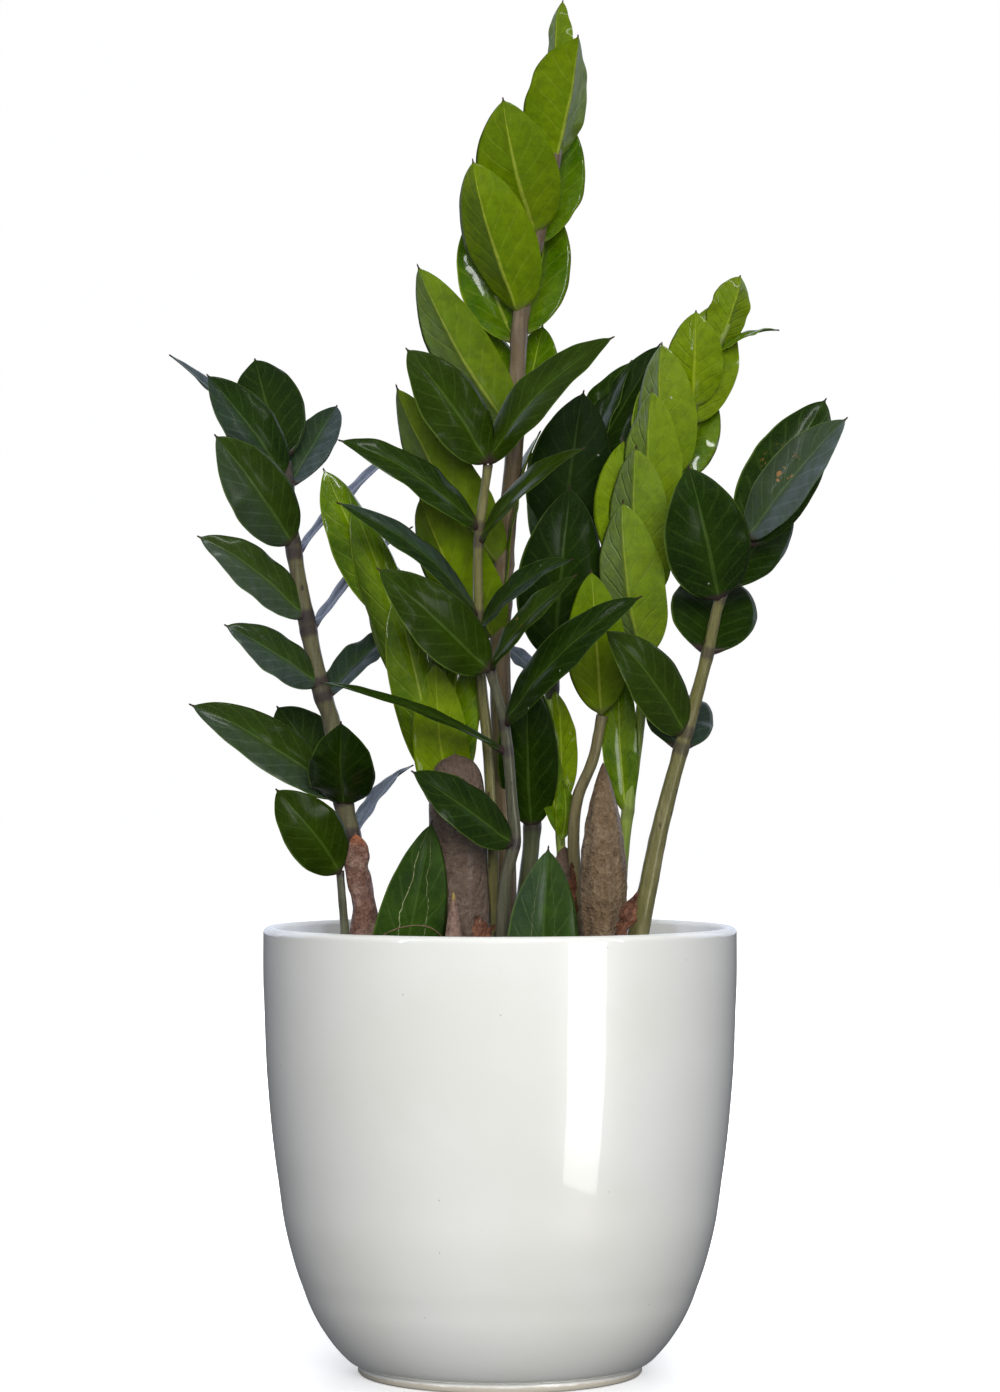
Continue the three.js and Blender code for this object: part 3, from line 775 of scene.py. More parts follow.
class BladeFormer(Former):
    """Makes one bent, cupped, folded blade with a round stem and a spur at its tip."""

    def __init__(self) -> None:
        """Wire the blade's shape."""
        super().__init__("bent blade")
        bench = self.bench
        foot, along = self.knob("Foot", "Vector"), self.knob("Along", "Vector")
        sideways, up = self.knob("Sideways", "Vector"), self.knob("Up", "Vector")
        length, width, stem = self.knob("Length"), self.knob("Width"), self.knob("Stem radius")
        fold, cup, bow = self.knob("Fold"), self.knob("Cup"), self.knob("Bow")
        twist, sway, hook = self.knob("Twist"), self.knob("Sway"), self.knob("Hook")
        wave, phase, thick = self.knob("Wave"), self.knob("Phase"), self.knob("Thickness")
        blunt, base = self.knob("Bluntness"), self.knob("Base share")
        crumple, cells = self.knob("Crumple"), self.knob("Crumple cells")
        mesh, loop, row = self.grid(self.knob("Columns", "Int"), self.knob("Rows", "Int"))
        share = row * 0.45 + (0.5 - bench.math("COSINE", row * math.pi) * 0.5) * 0.55
        fan = 1.0 - 4.0 * abs(loop - 0.5)
        side = bench.math("SIGN", 0.5 - loop) * 1.0
        out = abs(fan) ** 1.2
        across = bench.math("SIGN", fan) * out
        outline = self.outline(share, base, blunt) * width * 0.5
        spur = bench.smooth(share, 0.9, 0.985, 0.0, 1.0) * blunt * 0.00035
        neck = bench.smooth(share, 0.02, 0.16, 1.0, 0.0) * stem
        pole = bench.math("MINIMUM", row * 200.0, 1.0) * bench.math("MINIMUM", (1.0 - row) * 200.0, 1.0)
        half = bench.wire("ShaderNodeMath", {"operation": "SMOOTH_MAX"},
                          {0: outline, 1: neck + spur, 2: 0.001}) * pole
        curl = width * 0.5 / cup
        bend = across * half / curl
        reach = bench.math("SINE", bend) * curl
        rise = (bench.math("COSINE", bend) - 1.0) * curl
        crease = bench.math("SQRT", reach * reach + 0.0000012) - 0.0011
        rise = rise + crease * bench.math("SINE", fold)
        reach = reach * bench.math("COSINE", fold)
        ripple = bench.math("SINE", share * 17.0 + phase + bench.math("SIGN", across) * 1.3)
        ripple = ripple + bench.math("SINE", share * 31.0 + phase * 2.7 - bench.math("SIGN", across)) * 0.4
        ripple = ripple * wave * out * out
        rise = rise + ripple * bench.smooth(share, 0.05, 0.3) * bench.smooth(share, 0.98, 0.75)
        groove = bench.math("EXPONENT", -(reach * reach) / 0.0000022) * bench.smooth(share, 0.97, 0.8)
        body = thick * 0.5 + bench.smooth(share, 0.03, 0.15, 1.0, 0.0) * (stem - thick * 0.5)
        body = body * pole * bench.math("SQRT", 1.0001 - out * out)
        rise = rise + side * body - groove * (thick * 0.65) * bench.smooth(share, 0.05, 0.2)
        turn = twist * (share - 0.3)
        cosine, sine = bench.math("COSINE", turn), bench.math("SINE", turn)
        lateral = reach * cosine - rise * sine + sway * share * (1.0 - share) * 4.0
        lift = reach * sine + rise * cosine + bow * share * (1.0 - share) * 4.0
        lift = lift + hook * bench.smooth(share, 0.7, 1.0) ** 2.0
        place = foot + along * (length * share) + sideways * lateral + up * lift
        fold_noise = bench.wire("ShaderNodeTexNoise", {},
                                {"Vector": place, "Scale": cells, "Detail": 2.0}, "Color")
        shift = (fold_noise + (-0.5, -0.5, -0.5)) * (crumple * bench.smooth(share, 0.0, 0.25))
        place = place + shift
        marked = self.keep(mesh, "share", share)
        marked = self.keep(marked, "across", across)
        marked = self.keep(marked, "underside", bench.math("GREATER_THAN", loop, 0.5), "FACE")
        for name in ("seed", "tone_and_shade", "scar", "painted_sheen", "scratch"):
            marked = self.keep(marked, name, self.knob(name))
        self.close(self.move(marked, place))

    def outline(self, share: Wire, base: Wire, blunt: Wire) -> Wire:
        """How wide the blade is along its length.

        Args:
            share: Place along the blade.
            base: Share that the stem takes.
            blunt: 1 for a leaflet, less for a scale that starts wide.

        Returns:
            Width as a share of the widest.
        """
        bench = self.bench
        run = bench.wire("ShaderNodeMapRange", {}, {0: share, 1: base, 2: 0.972, 3: 0.0, 4: 1.0})
        leafy = run ** 0.62 * (1.0 - run) ** 0.74 / 0.3905
        sheath = bench.math("SQRT", 1.0 - run ** 7.0)
        return leafy * blunt + sheath * (1.0 - blunt)


class StalkFormer(Former):
    """Sweeps a slightly ribbed round section along a path that carries its radius."""

    def __init__(self) -> None:
        """Wire the sweep."""
        super().__init__("swept stalk")
        bench = self.bench
        ribs, ripple = self.knob("Ribs"), self.knob("Rib depth")
        sides = self.knob("Sides", "Int")
        line = Wire(bench, self.entry.outputs["Geometry"])
        path = self.shape("GeometryNodeMeshToCurve", {}, {"Mesh": line})
        ring = self.shape("GeometryNodeCurvePrimitiveCircle", {}, {"Resolution": sides, "Radius": 1.0})
        around = self.bench.wire("GeometryNodeSplineParameter")
        swell = bench.math("SINE", around * ribs * 2 * math.pi) * ripple + 1.0
        ring = self.move(ring, bench.wire("GeometryNodeInputPosition") * swell)
        ring = self.keep(ring, "around", around)
        girth = bench.wire("GeometryNodeInputNamedAttribute", {"data_type": "FLOAT"}, {"Name": "girth"})
        tube = self.shape("GeometryNodeCurveToMesh", {},
                          {"Curve": path, "Profile Curve": ring, "Scale": girth, "Fill Caps": True})
        lumps = bench.mottle(bench.wire("GeometryNodeInputPosition"), 130, 2.0) - 0.5
        push = bench.wire("GeometryNodeInputNormal") * (lumps * 0.0006)
        swollen = self.shape("GeometryNodeSetPosition", {}, {"Geometry": tube, "Offset": push})
        self.close(swollen)


class TurnedFormer(Former):
    """Turns a profile round an upright axis, with ridges, lean and rough relief."""

    def __init__(self) -> None:
        """Wire the turning."""
        super().__init__("turned shell")
        bench = self.bench
        foot, lean = self.knob("Foot", "Vector"), self.knob("Lean", "Vector")
        ridges, depth, swirl = self.knob("Ridges"), self.knob("Ridge depth"), self.knob("Swirl")
        rough, cells = self.knob("Relief"), self.knob("Relief cells")
        columns, rows = self.knob("Columns", "Int"), self.knob("Rows", "Int")
        mesh, turn, row = self.grid(columns, rows)
        spot = bench.wire("ShaderNodeMath", {"operation": "ROUND"}, {0: row * (rows - 1.0)})
        point = bench.wire("GeometryNodeSampleIndex", {"data_type": "FLOAT_VECTOR"},
                           {"Geometry": Wire(bench, self.entry.outputs["Geometry"]),
                            "Value": bench.wire("GeometryNodeInputPosition"), "Index": spot})
        parts = bench.node("ShaderNodeSeparateXYZ", {}, {0: point})
        radius, height = Wire(bench, parts.outputs[0]), Wire(bench, parts.outputs[2])
        angle = turn * (2 * math.pi)
        cosine, sine = bench.math("COSINE", angle), bench.math("SINE", angle)
        seat = bench.wire("ShaderNodeCombineXYZ", {}, {0: cosine * radius, 1: sine * radius, 2: height})
        lump = (bench.mottle(seat + foot, cells, 3.0) - 0.5) * rough
        ribbed = bench.math("SINE", angle * ridges + height * swirl)
        ribbed = ribbed + bench.math("SINE", angle * (ridges * 0.5) - height * swirl * 1.7) * 0.6
        wide = radius * (1.0 + ribbed * depth + lump)
        shell = bench.wire("ShaderNodeCombineXYZ", {}, {0: cosine * wide, 1: sine * wide, 2: height})
        marked = self.keep(mesh, "share", row)
        marked = self.keep(marked, "across", turn)
        self.close(self.move(marked, shell + foot + lean * (row * row)))


class CrumbFormer(Former):
    """Scatters rough crumbs over a surface and joins them to it."""

    SCATTER_SEED = 7
    SPIN_SEED = 3
    GIRTH_SEED = 4

    def __init__(self) -> None:
        """Wire the scattering."""
        super().__init__("scattered crumbs")
        bench = self.bench
        density, size = self.knob("Crumbs per square metre"), self.knob("Crumb radius")
        level = self.knob("Level")
        bed = Wire(bench, self.entry.outputs["Geometry"])
        high = bench.wire("ShaderNodeSeparateXYZ", {}, {0: bench.wire("GeometryNodeInputPosition")}, "Z")
        top = bench.math("GREATER_THAN", high, level)
        points = self.shape("GeometryNodeDistributePointsOnFaces", {},
                            {"Mesh": bed, "Selection": top, "Density": density, "Seed": self.SCATTER_SEED})
        ball = self.shape("GeometryNodeMeshIcoSphere", {}, {"Radius": size, "Subdivisions": 2})
        dent = bench.mottle(bench.wire("GeometryNodeInputPosition"), 700, 2.0) - 0.5
        push = bench.wire("GeometryNodeInputNormal") * (dent * size * 1.6)
        ball = self.shape("GeometryNodeSetPosition", {}, {"Geometry": ball, "Offset": push})
        spin = bench.wire("FunctionNodeRandomValue", {"data_type": "FLOAT_VECTOR"},
                          {0: (0.0, 0.0, 0.0), 1: (6.28, 6.28, 6.28), "Seed": self.SPIN_SEED})
        girth = bench.wire("FunctionNodeRandomValue", {"data_type": "FLOAT_VECTOR"},
                           {0: (0.35, 0.35, 0.25), 1: (1.7, 1.5, 1.0), "Seed": self.GIRTH_SEED})
        spread = self.shape("GeometryNodeInstanceOnPoints", {},
                            {"Points": points, "Instance": ball, "Rotation": spin, "Scale": girth})
        tint = bench.wire("FunctionNodeRandomValue", {"data_type": "FLOAT"}, {2: 0.0, 3: 1.0, "Seed": 5}, 1)
        spread = self.keep(spread, "tint", tint, "INSTANCE")
        spread = self.shape("GeometryNodeRealizeInstances", {}, {"Geometry": spread})
        both = bench.node("GeometryNodeJoinGeometry")
        for part in (spread, bed):
            self.tree.links.new(part.socket, both.inputs[0])
        self.close(Wire(bench, both.outputs[0]), 0.0)


# ---------------------------------------------------------------- paths and outlines


def through(points: Sequence[Sequence[float]], steps: int) -> np.ndarray:
    """Run a smooth line through points.

    Args:
        points: The points that the line passes.
        steps: Points made between two of them.

    Returns:
        The line's points, one per row.
    """
    knots = np.array(points, dtype=float)
    gaps = np.sqrt(np.linalg.norm(np.diff(knots, axis=0), axis=1))
    slopes = np.gradient(knots, np.concatenate([[0], np.cumsum(gaps)]), axis=0)
    rows = []
    for start, gap in enumerate(gaps):
        share = np.linspace(0, 1, steps, endpoint=False)[:, None]
        ease = share * share * (3 - 2 * share)
        rows.append(knots[start] * (1 - ease) + knots[start + 1] * ease
                    + slopes[start] * gap * share * (1 - share) ** 2
                    - slopes[start + 1] * gap * share ** 2 * (1 - share))
    return np.vstack([*rows, knots[-1:]])


def line_mesh(name: str, points: np.ndarray, numbers: dict[str, np.ndarray] | None = None) -> bpy.types.Mesh:
    """Make a mesh of one open line that carries numbers.

    Args:
        name: The mesh's name.
        points: Its points, in millimetres.
        numbers: Attribute names to one number a point.

    Returns:
        The mesh.
    """
    mesh = bpy.data.meshes.new(name)
    mesh.from_pydata((points * MM).tolist(), [(i, i + 1) for i in range(len(points) - 1)], [])
    for key, values in (numbers or {}).items():
        marks = mesh.attributes.new(key, "FLOAT", "POINT")
        marks.data.foreach_set("value", np.asarray(values, dtype=np.float32))
    return mesh


def hand_over(piece: bpy.types.Object, slot: str, *nodes: str) -> None:
    """Give a finished piece to the frame.

    Args:
        piece: The piece.
        slot: The record's material slot.
        nodes: The CAD nodes that it stands for.
    """
    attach(piece, BODY)
    if nodes:
        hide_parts(*nodes)
    LOG.info("%s: %d faces, %s", piece.name, len(piece.data.polygons), slot)


# ---------------------------------------------------------------- sub-assemblies


@dataclass(frozen=True)
class Leaf:
    """A leaflet: where its tip is, how high it leaves the stalk, its width, turn, fold and bow."""

    name: str
    tip: Point
    height: float
    width: float
    turn: float
    fold: float
    bow: float
    # A tone below zero darkens the leaflet with painted shade.
    tone_and_shade: float = 0.0
    scar: float = 0.0
    # The number below paints a bluish sheen into the leaflet's colour, on one half or all of it.
    painted_sheen: float = 0.0
    scratch: float = 0.0
    thickness: float = 0.75
    stem: float = 1.55
    cup: float = 0.34
    crumple: float = 1.2
    cells: float = 55.0

    def axes(self, foot: np.ndarray) -> tuple[float, np.ndarray, np.ndarray, np.ndarray]:
        """Work out the blade's own directions.

        Args:
            foot: Where the blade starts, in millimetres.

        Returns:
            Its length, and the directions along, sideways and up.
        """
        chord = np.array(self.tip) - foot
        length = float(np.linalg.norm(chord))
        along = chord / length
        facing = np.array([0.0, -1.0, 0.0])
        facing = facing - along * facing.dot(along)
        facing = facing / np.linalg.norm(facing)
        turn = math.radians(self.turn)
        up = facing * math.cos(turn) + np.cross(along, facing) * math.sin(turn)
        return length, along, np.cross(along, up), up

    def build(self, former: BladeFormer, foot: np.ndarray, kind: Kind,
              blunt: float = 1.0) -> bpy.types.Object:
        """Make the leaflet.

        Args:
            former: The blade tree.
            foot: Where it starts, in millimetres.
            kind: Its finish.
            blunt: 1 for a leaflet, 0 for a sheath that starts at full width.

        Returns:
            The piece.
        """
        length, along, sideways, up = self.axes(foot)
        chance = dice(self.name)
        return former.run(f"{self.name}_blade", kind.finish, {
            "Foot": tuple(foot * MM), "Along": tuple(along), "Sideways": tuple(sideways), "Up": tuple(up),
            "Length": length * MM, "Width": self.width * MM, "Stem radius": self.stem * MM,
            "Fold": math.radians(self.fold), "Cup": self.cup * chance.uniform(0.75, 1.25),
            "Bow": self.bow * MM, "Twist": math.radians(chance.uniform(-14, 14)) * blunt,
            "Sway": chance.uniform(-1.4, 1.4) * MM * blunt,
            "Hook": chance.uniform(-2.2, 1.6) * MM * blunt, "Wave": chance.uniform(0.25, 0.75) * MM,
            "Phase": chance.uniform(0, 6.28), "Thickness": self.thickness * MM, "Bluntness": blunt,
            "Base share": 0.015 * blunt, "Columns": 41, "Rows": 49, "seed": chance.uniform(0, 20),
            "tone_and_shade": self.tone_and_shade + chance.uniform(-0.08, 0.08), "scar": self.scar, "painted_sheen": self.painted_sheen,
            "scratch": self.scratch, "Crumple": self.crumple * MM, "Crumple cells": self.cells,
        })


@dataclass
class Frond:
    """A stalk with its leaflets."""

    name: str
    stalk_kind: Kind
    leaf_kind: Kind
    path: Sequence[Point]
    girth: tuple[float, float]
    leaves: Sequence[Leaf]
    line: np.ndarray = field(init=False)

    def __post_init__(self) -> None:
        """Run the stalk's line."""
        self.line = through(self.path, 14)

    def centre(self, height: float) -> np.ndarray:
        """Find the middle of the stalk at a height.

        Args:
            height: Height in millimetres.

        Returns:
            The point.
        """
        heights = self.line[:, 2]
        return np.array([np.interp(height, heights, self.line[:, axis]) for axis in range(3)])

    def radius(self, height: float) -> float:
        """Find the stalk's radius at a height, in millimetres."""
        share = (height - self.line[0, 2]) / (self.line[-1, 2] - self.line[0, 2])
        return self.girth[0] + (self.girth[1] - self.girth[0]) * share

    def build_stalk(self, former: StalkFormer) -> None:
        """Make the stalk, with a swollen joint under every leaflet.

        Args:
            former: The stalk tree.
        """
        heights = self.line[:, 2]
        share = (heights - heights[0]) / (heights[-1] - heights[0])
        joint = np.zeros(len(heights))
        for leaf in self.leaves:
            joint = np.maximum(joint, np.exp(-((heights - leaf.height - 1) / 3.4) ** 2))
        girth = self.girth[0] + (self.girth[1] - self.girth[0]) * share
        girth = girth * (1 + 0.13 * joint + 0.22 * np.exp(-((heights - heights[0]) / 14) ** 2))
        numbers = {"share": share, "joint": joint, "girth": girth * MM}
        piece = former.run(f"{self.name}_stalk", self.stalk_kind.finish,
                           {"Ribs": 5.0, "Rib depth": 0.028, "Sides": 26},
                           line_mesh(f"{self.name}_stalk", self.line, numbers))
        hand_over(piece, self.stalk_kind.slot, f"stalk_{self.name}")

    def build_leaves(self, former: BladeFormer) -> None:
        """Make every leaflet, each rooted at the side of the stalk that it grows toward.

        Args:
            former: The blade tree.
        """
        for leaf in self.leaves:
            middle = self.centre(leaf.height)
            spine = self.centre(leaf.height + 2) - self.centre(leaf.height - 2)
            spine = spine / max(np.linalg.norm(spine), 1e-6)
            toward = np.array(leaf.tip) - middle
            toward = toward - spine * toward.dot(spine)
            foot = middle + toward / np.linalg.norm(toward) * self.radius(leaf.height) * 0.2
            piece = leaf.build(former, foot, self.leaf_kind)
            hand_over(piece, self.leaf_kind.slot, *([leaf.name] if leaf.name.startswith("leaflet") else []))


@dataclass
class Pot:
    """The round glazed pot, with its foot ring and rolled rim."""

    rim_radius: float = 100.0
    rim_height: float = 188.0
    wall: float = 5.0
    floor: float = 9.0

    def outline(self) -> np.ndarray:
        """Draw the wall's outline from the middle of the foot, over the rim, to the middle of the floor.

        Returns:
            Radius and height in a row each, with a zero between them.
        """
        foot = [(0, 0), (30, 0), (57.5, 0), (59.4, 0.25), (60, 1), (60, 2.9), (59.5, 3.5), (59.9, 4.1)]
        outside = [(61.2, 4.4), (63.9, 5.8), (69.6, 11.5), (75.7, 20), (80.2, 28.5), (83.4, 37), (86.4, 45.5),
                   (90.9, 63), (93.4, 80), (95.7, 97), (97.4, 114), (98.7, 131), (99.4, 148), (100, 168),
                   (self.rim_radius, self.rim_height - 3)]
        shoulder = [(self.rim_radius - 2.4 + 2.4 * math.cos(a), self.rim_height - 2.4 + 2.4 * math.sin(a))
                    for a in np.linspace(0.15, math.pi - 0.15, 10)]
        inside = [(radius - self.wall, height) for radius, height in reversed(outside[3:-1])]
        bottom = [(61, self.floor + 2.5), (52, self.floor), (25, self.floor), (0, self.floor)]
        runs = [np.array(foot), through(outside, 6), np.array(shoulder), through(inside, 6),
                through(bottom, 5)]
        flat = np.vstack(runs)
        return np.column_stack([flat[:, 0], np.zeros(len(flat)), flat[:, 1]])

    def build(self, former: TurnedFormer) -> None:
        """Make the pot.

        Args:
            former: The turning tree.
        """
        outline = self.outline()
        finish = GlazeFinish("pot glaze", coat_roughness=0.03, specular=0.5, bump_depth=0.00025,
                             bump_strength=0.35)
        piece = former.run("glazed_pot", finish, {
            "Columns": 193, "Rows": len(outline), "Relief": 0.0022, "Relief cells": 22.0,
        }, line_mesh("pot outline", outline))
        hand_over(piece, "glaze", "pot")


@dataclass
class Soil:
    """The potting soil: a rough bed with crumbs, bark and grit on it."""

    surface: float = 166.0
    swell: float = 1.1
    crumb_radius: float = 1.7
    crumbs_per_square_metre: float = 70000.0

    def build(self, turned: TurnedFormer, crumbs: CrumbFormer) -> None:
        """Make the bed, then scatter the crumbs.

        Args:
            turned: The turning tree.
            crumbs: The scattering tree.
        """
        box_low, box_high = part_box("potting_soil")
        low = box_low[2] / MM
        rim = box_high[0] / MM
        outline = [(0.0, 0.0, low + 1), (50.0, 0.0, low + 1), (60.0, 0.0, low + 12), (84.0, 0.0, 60.0)]
        outline += [(91.0, 0.0, 110.0), (rim - 0.4, 0.0, self.surface - 3),
                    (rim - 0.9, 0.0, self.surface - 0.6)]
        outline += [(r, 0.0, self.surface + self.swell * math.sin(r * 0.24) * min(1, r / 12))
                    for r in np.arange(90, 0, -2.5)]
        outline += [(0.0, 0.0, self.surface)]
        rows = np.array(outline)
        finish = SoilFinish("potting soil", specular=0.2, bump_depth=0.0015, bump_strength=0.9)
        bed = turned.run("soil_bed", finish, {"Columns": 121, "Rows": len(rows)},
                         line_mesh("soil outline", rows))
        lift = {"Level": (self.surface - 2) * MM, "Crumbs per square metre": self.crumbs_per_square_metre,
                "Crumb radius": self.crumb_radius * MM}
        piece = crumbs.run("soil", finish, lift, bed.data)
        bpy.data.objects.remove(bed)
        hand_over(piece, "soil", "potting_soil")


@dataclass
class Sheaths:
    """The papery scale leaves, closed sheaths and small scraps at the stalks' feet."""

    scales: Sequence[tuple[Leaf, Point, Kind]] = (
        (Leaf("dry_scale", (-61, -19, 228), 0, 14.3, 0, 0, 0, thickness=0.7, cup=1.08, crumple=9.0),
         (-54.5, -20.3, 166.9), Kind.DRY),
        (Leaf("mauve_scale", (-18.5, -35, 263), 0, 35.5, 0, 0, 0, thickness=0.8, cup=1.48, crumple=2.5),
         (-15.6, -35.8, 166.8), Kind.MAUVE),
        (Leaf("short_scale", (27, 1.8, 223), 0, 11.2, 0, 0, 0, thickness=0.7, cup=1.4, crumple=3.0),
         (27, 1.8, 166.8), Kind.MAUVE),
    )
    rim_leaves: Sequence[tuple[Leaf, Point]] = (
        (Leaf("rim_leaf_left", (-28, -38, 234), 0, 30.5, 4, 6, 3, tone_and_shade=0.02, scratch=1.0),
         (-49.5, -34, 138.0)),
        (Leaf("rim_leaf_right", (20, -50, 223.5), 0, 32, 0, 8, 3, tone_and_shade=0.03, scratch=0.25, painted_sheen=-0.06),
         (17.5, -48, 136.0)),
    )
    scraps: Sequence[tuple[Leaf, Point]] = (
        (Leaf("curled_scrap_1", (-8, -60, 196), 0, 10, 50, 10, 3, thickness=0.4, cup=0.9), (-15, -58, 168)),
        (Leaf("curled_scrap_2", (-1, -58, 193), 0, 8, 120, 0, -3, thickness=0.4, cup=1.4), (-8, -56, 168)),
        (Leaf("curled_scrap_3", (57, -46, 204), 0, 9, -40, 10, 4, thickness=0.4, cup=0.9), (45, -43, 168)),
        (Leaf("curled_scrap_4", (48, -50, 194), 0, 9, 60, 0, 3, thickness=0.4, cup=1.3), (51, -44, 168)),
        (Leaf("curled_scrap_5", (31, -6, 216), 0, 8, 10, 0, 2, thickness=0.4, cup=1.4), (30, -6, 167)),
        (Leaf("curled_scrap_6", (-38, 22, 196), 0, 13, 30, 0, 3, thickness=0.4, cup=1.2), (-46, 18, 167)),
        (Leaf("curled_scrap_7", (18, 34, 205), 0, 12, 200, 0, 3, thickness=0.4, cup=1.2), (10, 26, 167)),
        (Leaf("curled_scrap_8", (62, 14, 200), 0, 12, 240, 0, 3, thickness=0.4, cup=1.2), (54, 8, 167)),
    )
    scrap_crumple: float = 7.0
    scrap_cells: float = 150.0
    scrap_stem: float = 0.6
    spindle_rows: int = 90
    spindle_bluntness: float = 0.8

    def build(self, former: BladeFormer, turned: TurnedFormer) -> None:
        """Make every sheath and scrap.

        Args:
            former: The blade tree.
            turned: The turning tree.
        """
        for leaf, foot, kind in self.scales:
            hand_over(leaf.build(former, np.array(foot), kind, 0.0), kind.slot, leaf.name)
        for leaf, foot in self.rim_leaves:
            hand_over(leaf.build(former, np.array(foot), Kind.MID), Kind.MID.slot, leaf.name)
        for leaf, foot in self.scraps:
            dry = replace(leaf, crumple=self.scrap_crumple, cells=self.scrap_cells, stem=self.scrap_stem)
            hand_over(dry.build(former, np.array(foot), Kind.CURL, 0.6), Kind.CURL.slot)
        self.build_spindle(turned, "closed_sheath", (43, -24, 166.4), 91, 8.6, 9.7, 0.45, Kind.TAN)
        self.build_spindle(turned, "pink_bud", (-19, -54, 166.4), 38, 4.0, 4.1, 0.2, Kind.PINK)

    def build_spindle(self, turned: TurnedFormer, name: str, foot: Point, height: float, at_foot: float,
                      widest: float, where: float, kind: Kind) -> None:
        """Make a closed spindle-shaped sheath.

        Args:
            turned: The turning tree.
            name: Its name, which is also its CAD node's.
            foot: Its foot, in millimetres.
            height: Its height.
            at_foot: Radius at the foot.
            widest: Widest radius.
            where: Share of the height at which it is widest.
            kind: Its finish.
        """
        rows = [(0.0, 0.0, 0.0)]
        for share in np.linspace(0, 1, self.spindle_rows):
            if share < where:
                radius = at_foot + (widest - at_foot) * math.sin(share / where * math.pi / 2)
            else:
                taper = math.cos((share - where) / (1 - where) * math.pi / 2)
                radius = widest * taper ** self.spindle_bluntness
            rows.append((max(radius, 0.0), 0.0, height * share))
        rows[-1] = (0.0, 0.0, height)
        piece = turned.run(f"{name}_shell", kind.finish, {
            "Foot": tuple(np.array(foot) * MM), "Columns": 97, "Rows": len(rows), "Ridges": 9.0,
            "Ridge depth": 0.02, "Swirl": 30.0, "Relief": 0.22, "Relief cells": 170.0,
        }, line_mesh(name, np.array(rows)))
        hand_over(piece, kind.slot, name)


@dataclass
class RootThread:
    """A thin dry root that lies on the soil."""

    path: Sequence[Point] = ((-58, -58, 168), (-54, -64, 181), (-46, -66, 188), (-36, -66, 191),
                             (-28, -64, 190), (-22, -61, 184), (-18, -57, 170))
    girth: float = 0.34

    def build(self, former: StalkFormer) -> None:
        """Make the root.

        Args:
            former: The stalk tree.
        """
        line = through(self.path, 10)
        share = np.linspace(0, 1, len(line))
        girth = (0.4 + 0.6 * np.sin(share * math.pi)) * self.girth * MM
        numbers = {"share": share, "joint": share * 0, "girth": girth}
        piece = former.run("root_thread", Kind.TAN.finish, {"Ribs": 3.0, "Rib depth": 0.1, "Sides": 10},
                           line_mesh("root_thread", line, numbers))
        hand_over(piece, Kind.TAN.slot)


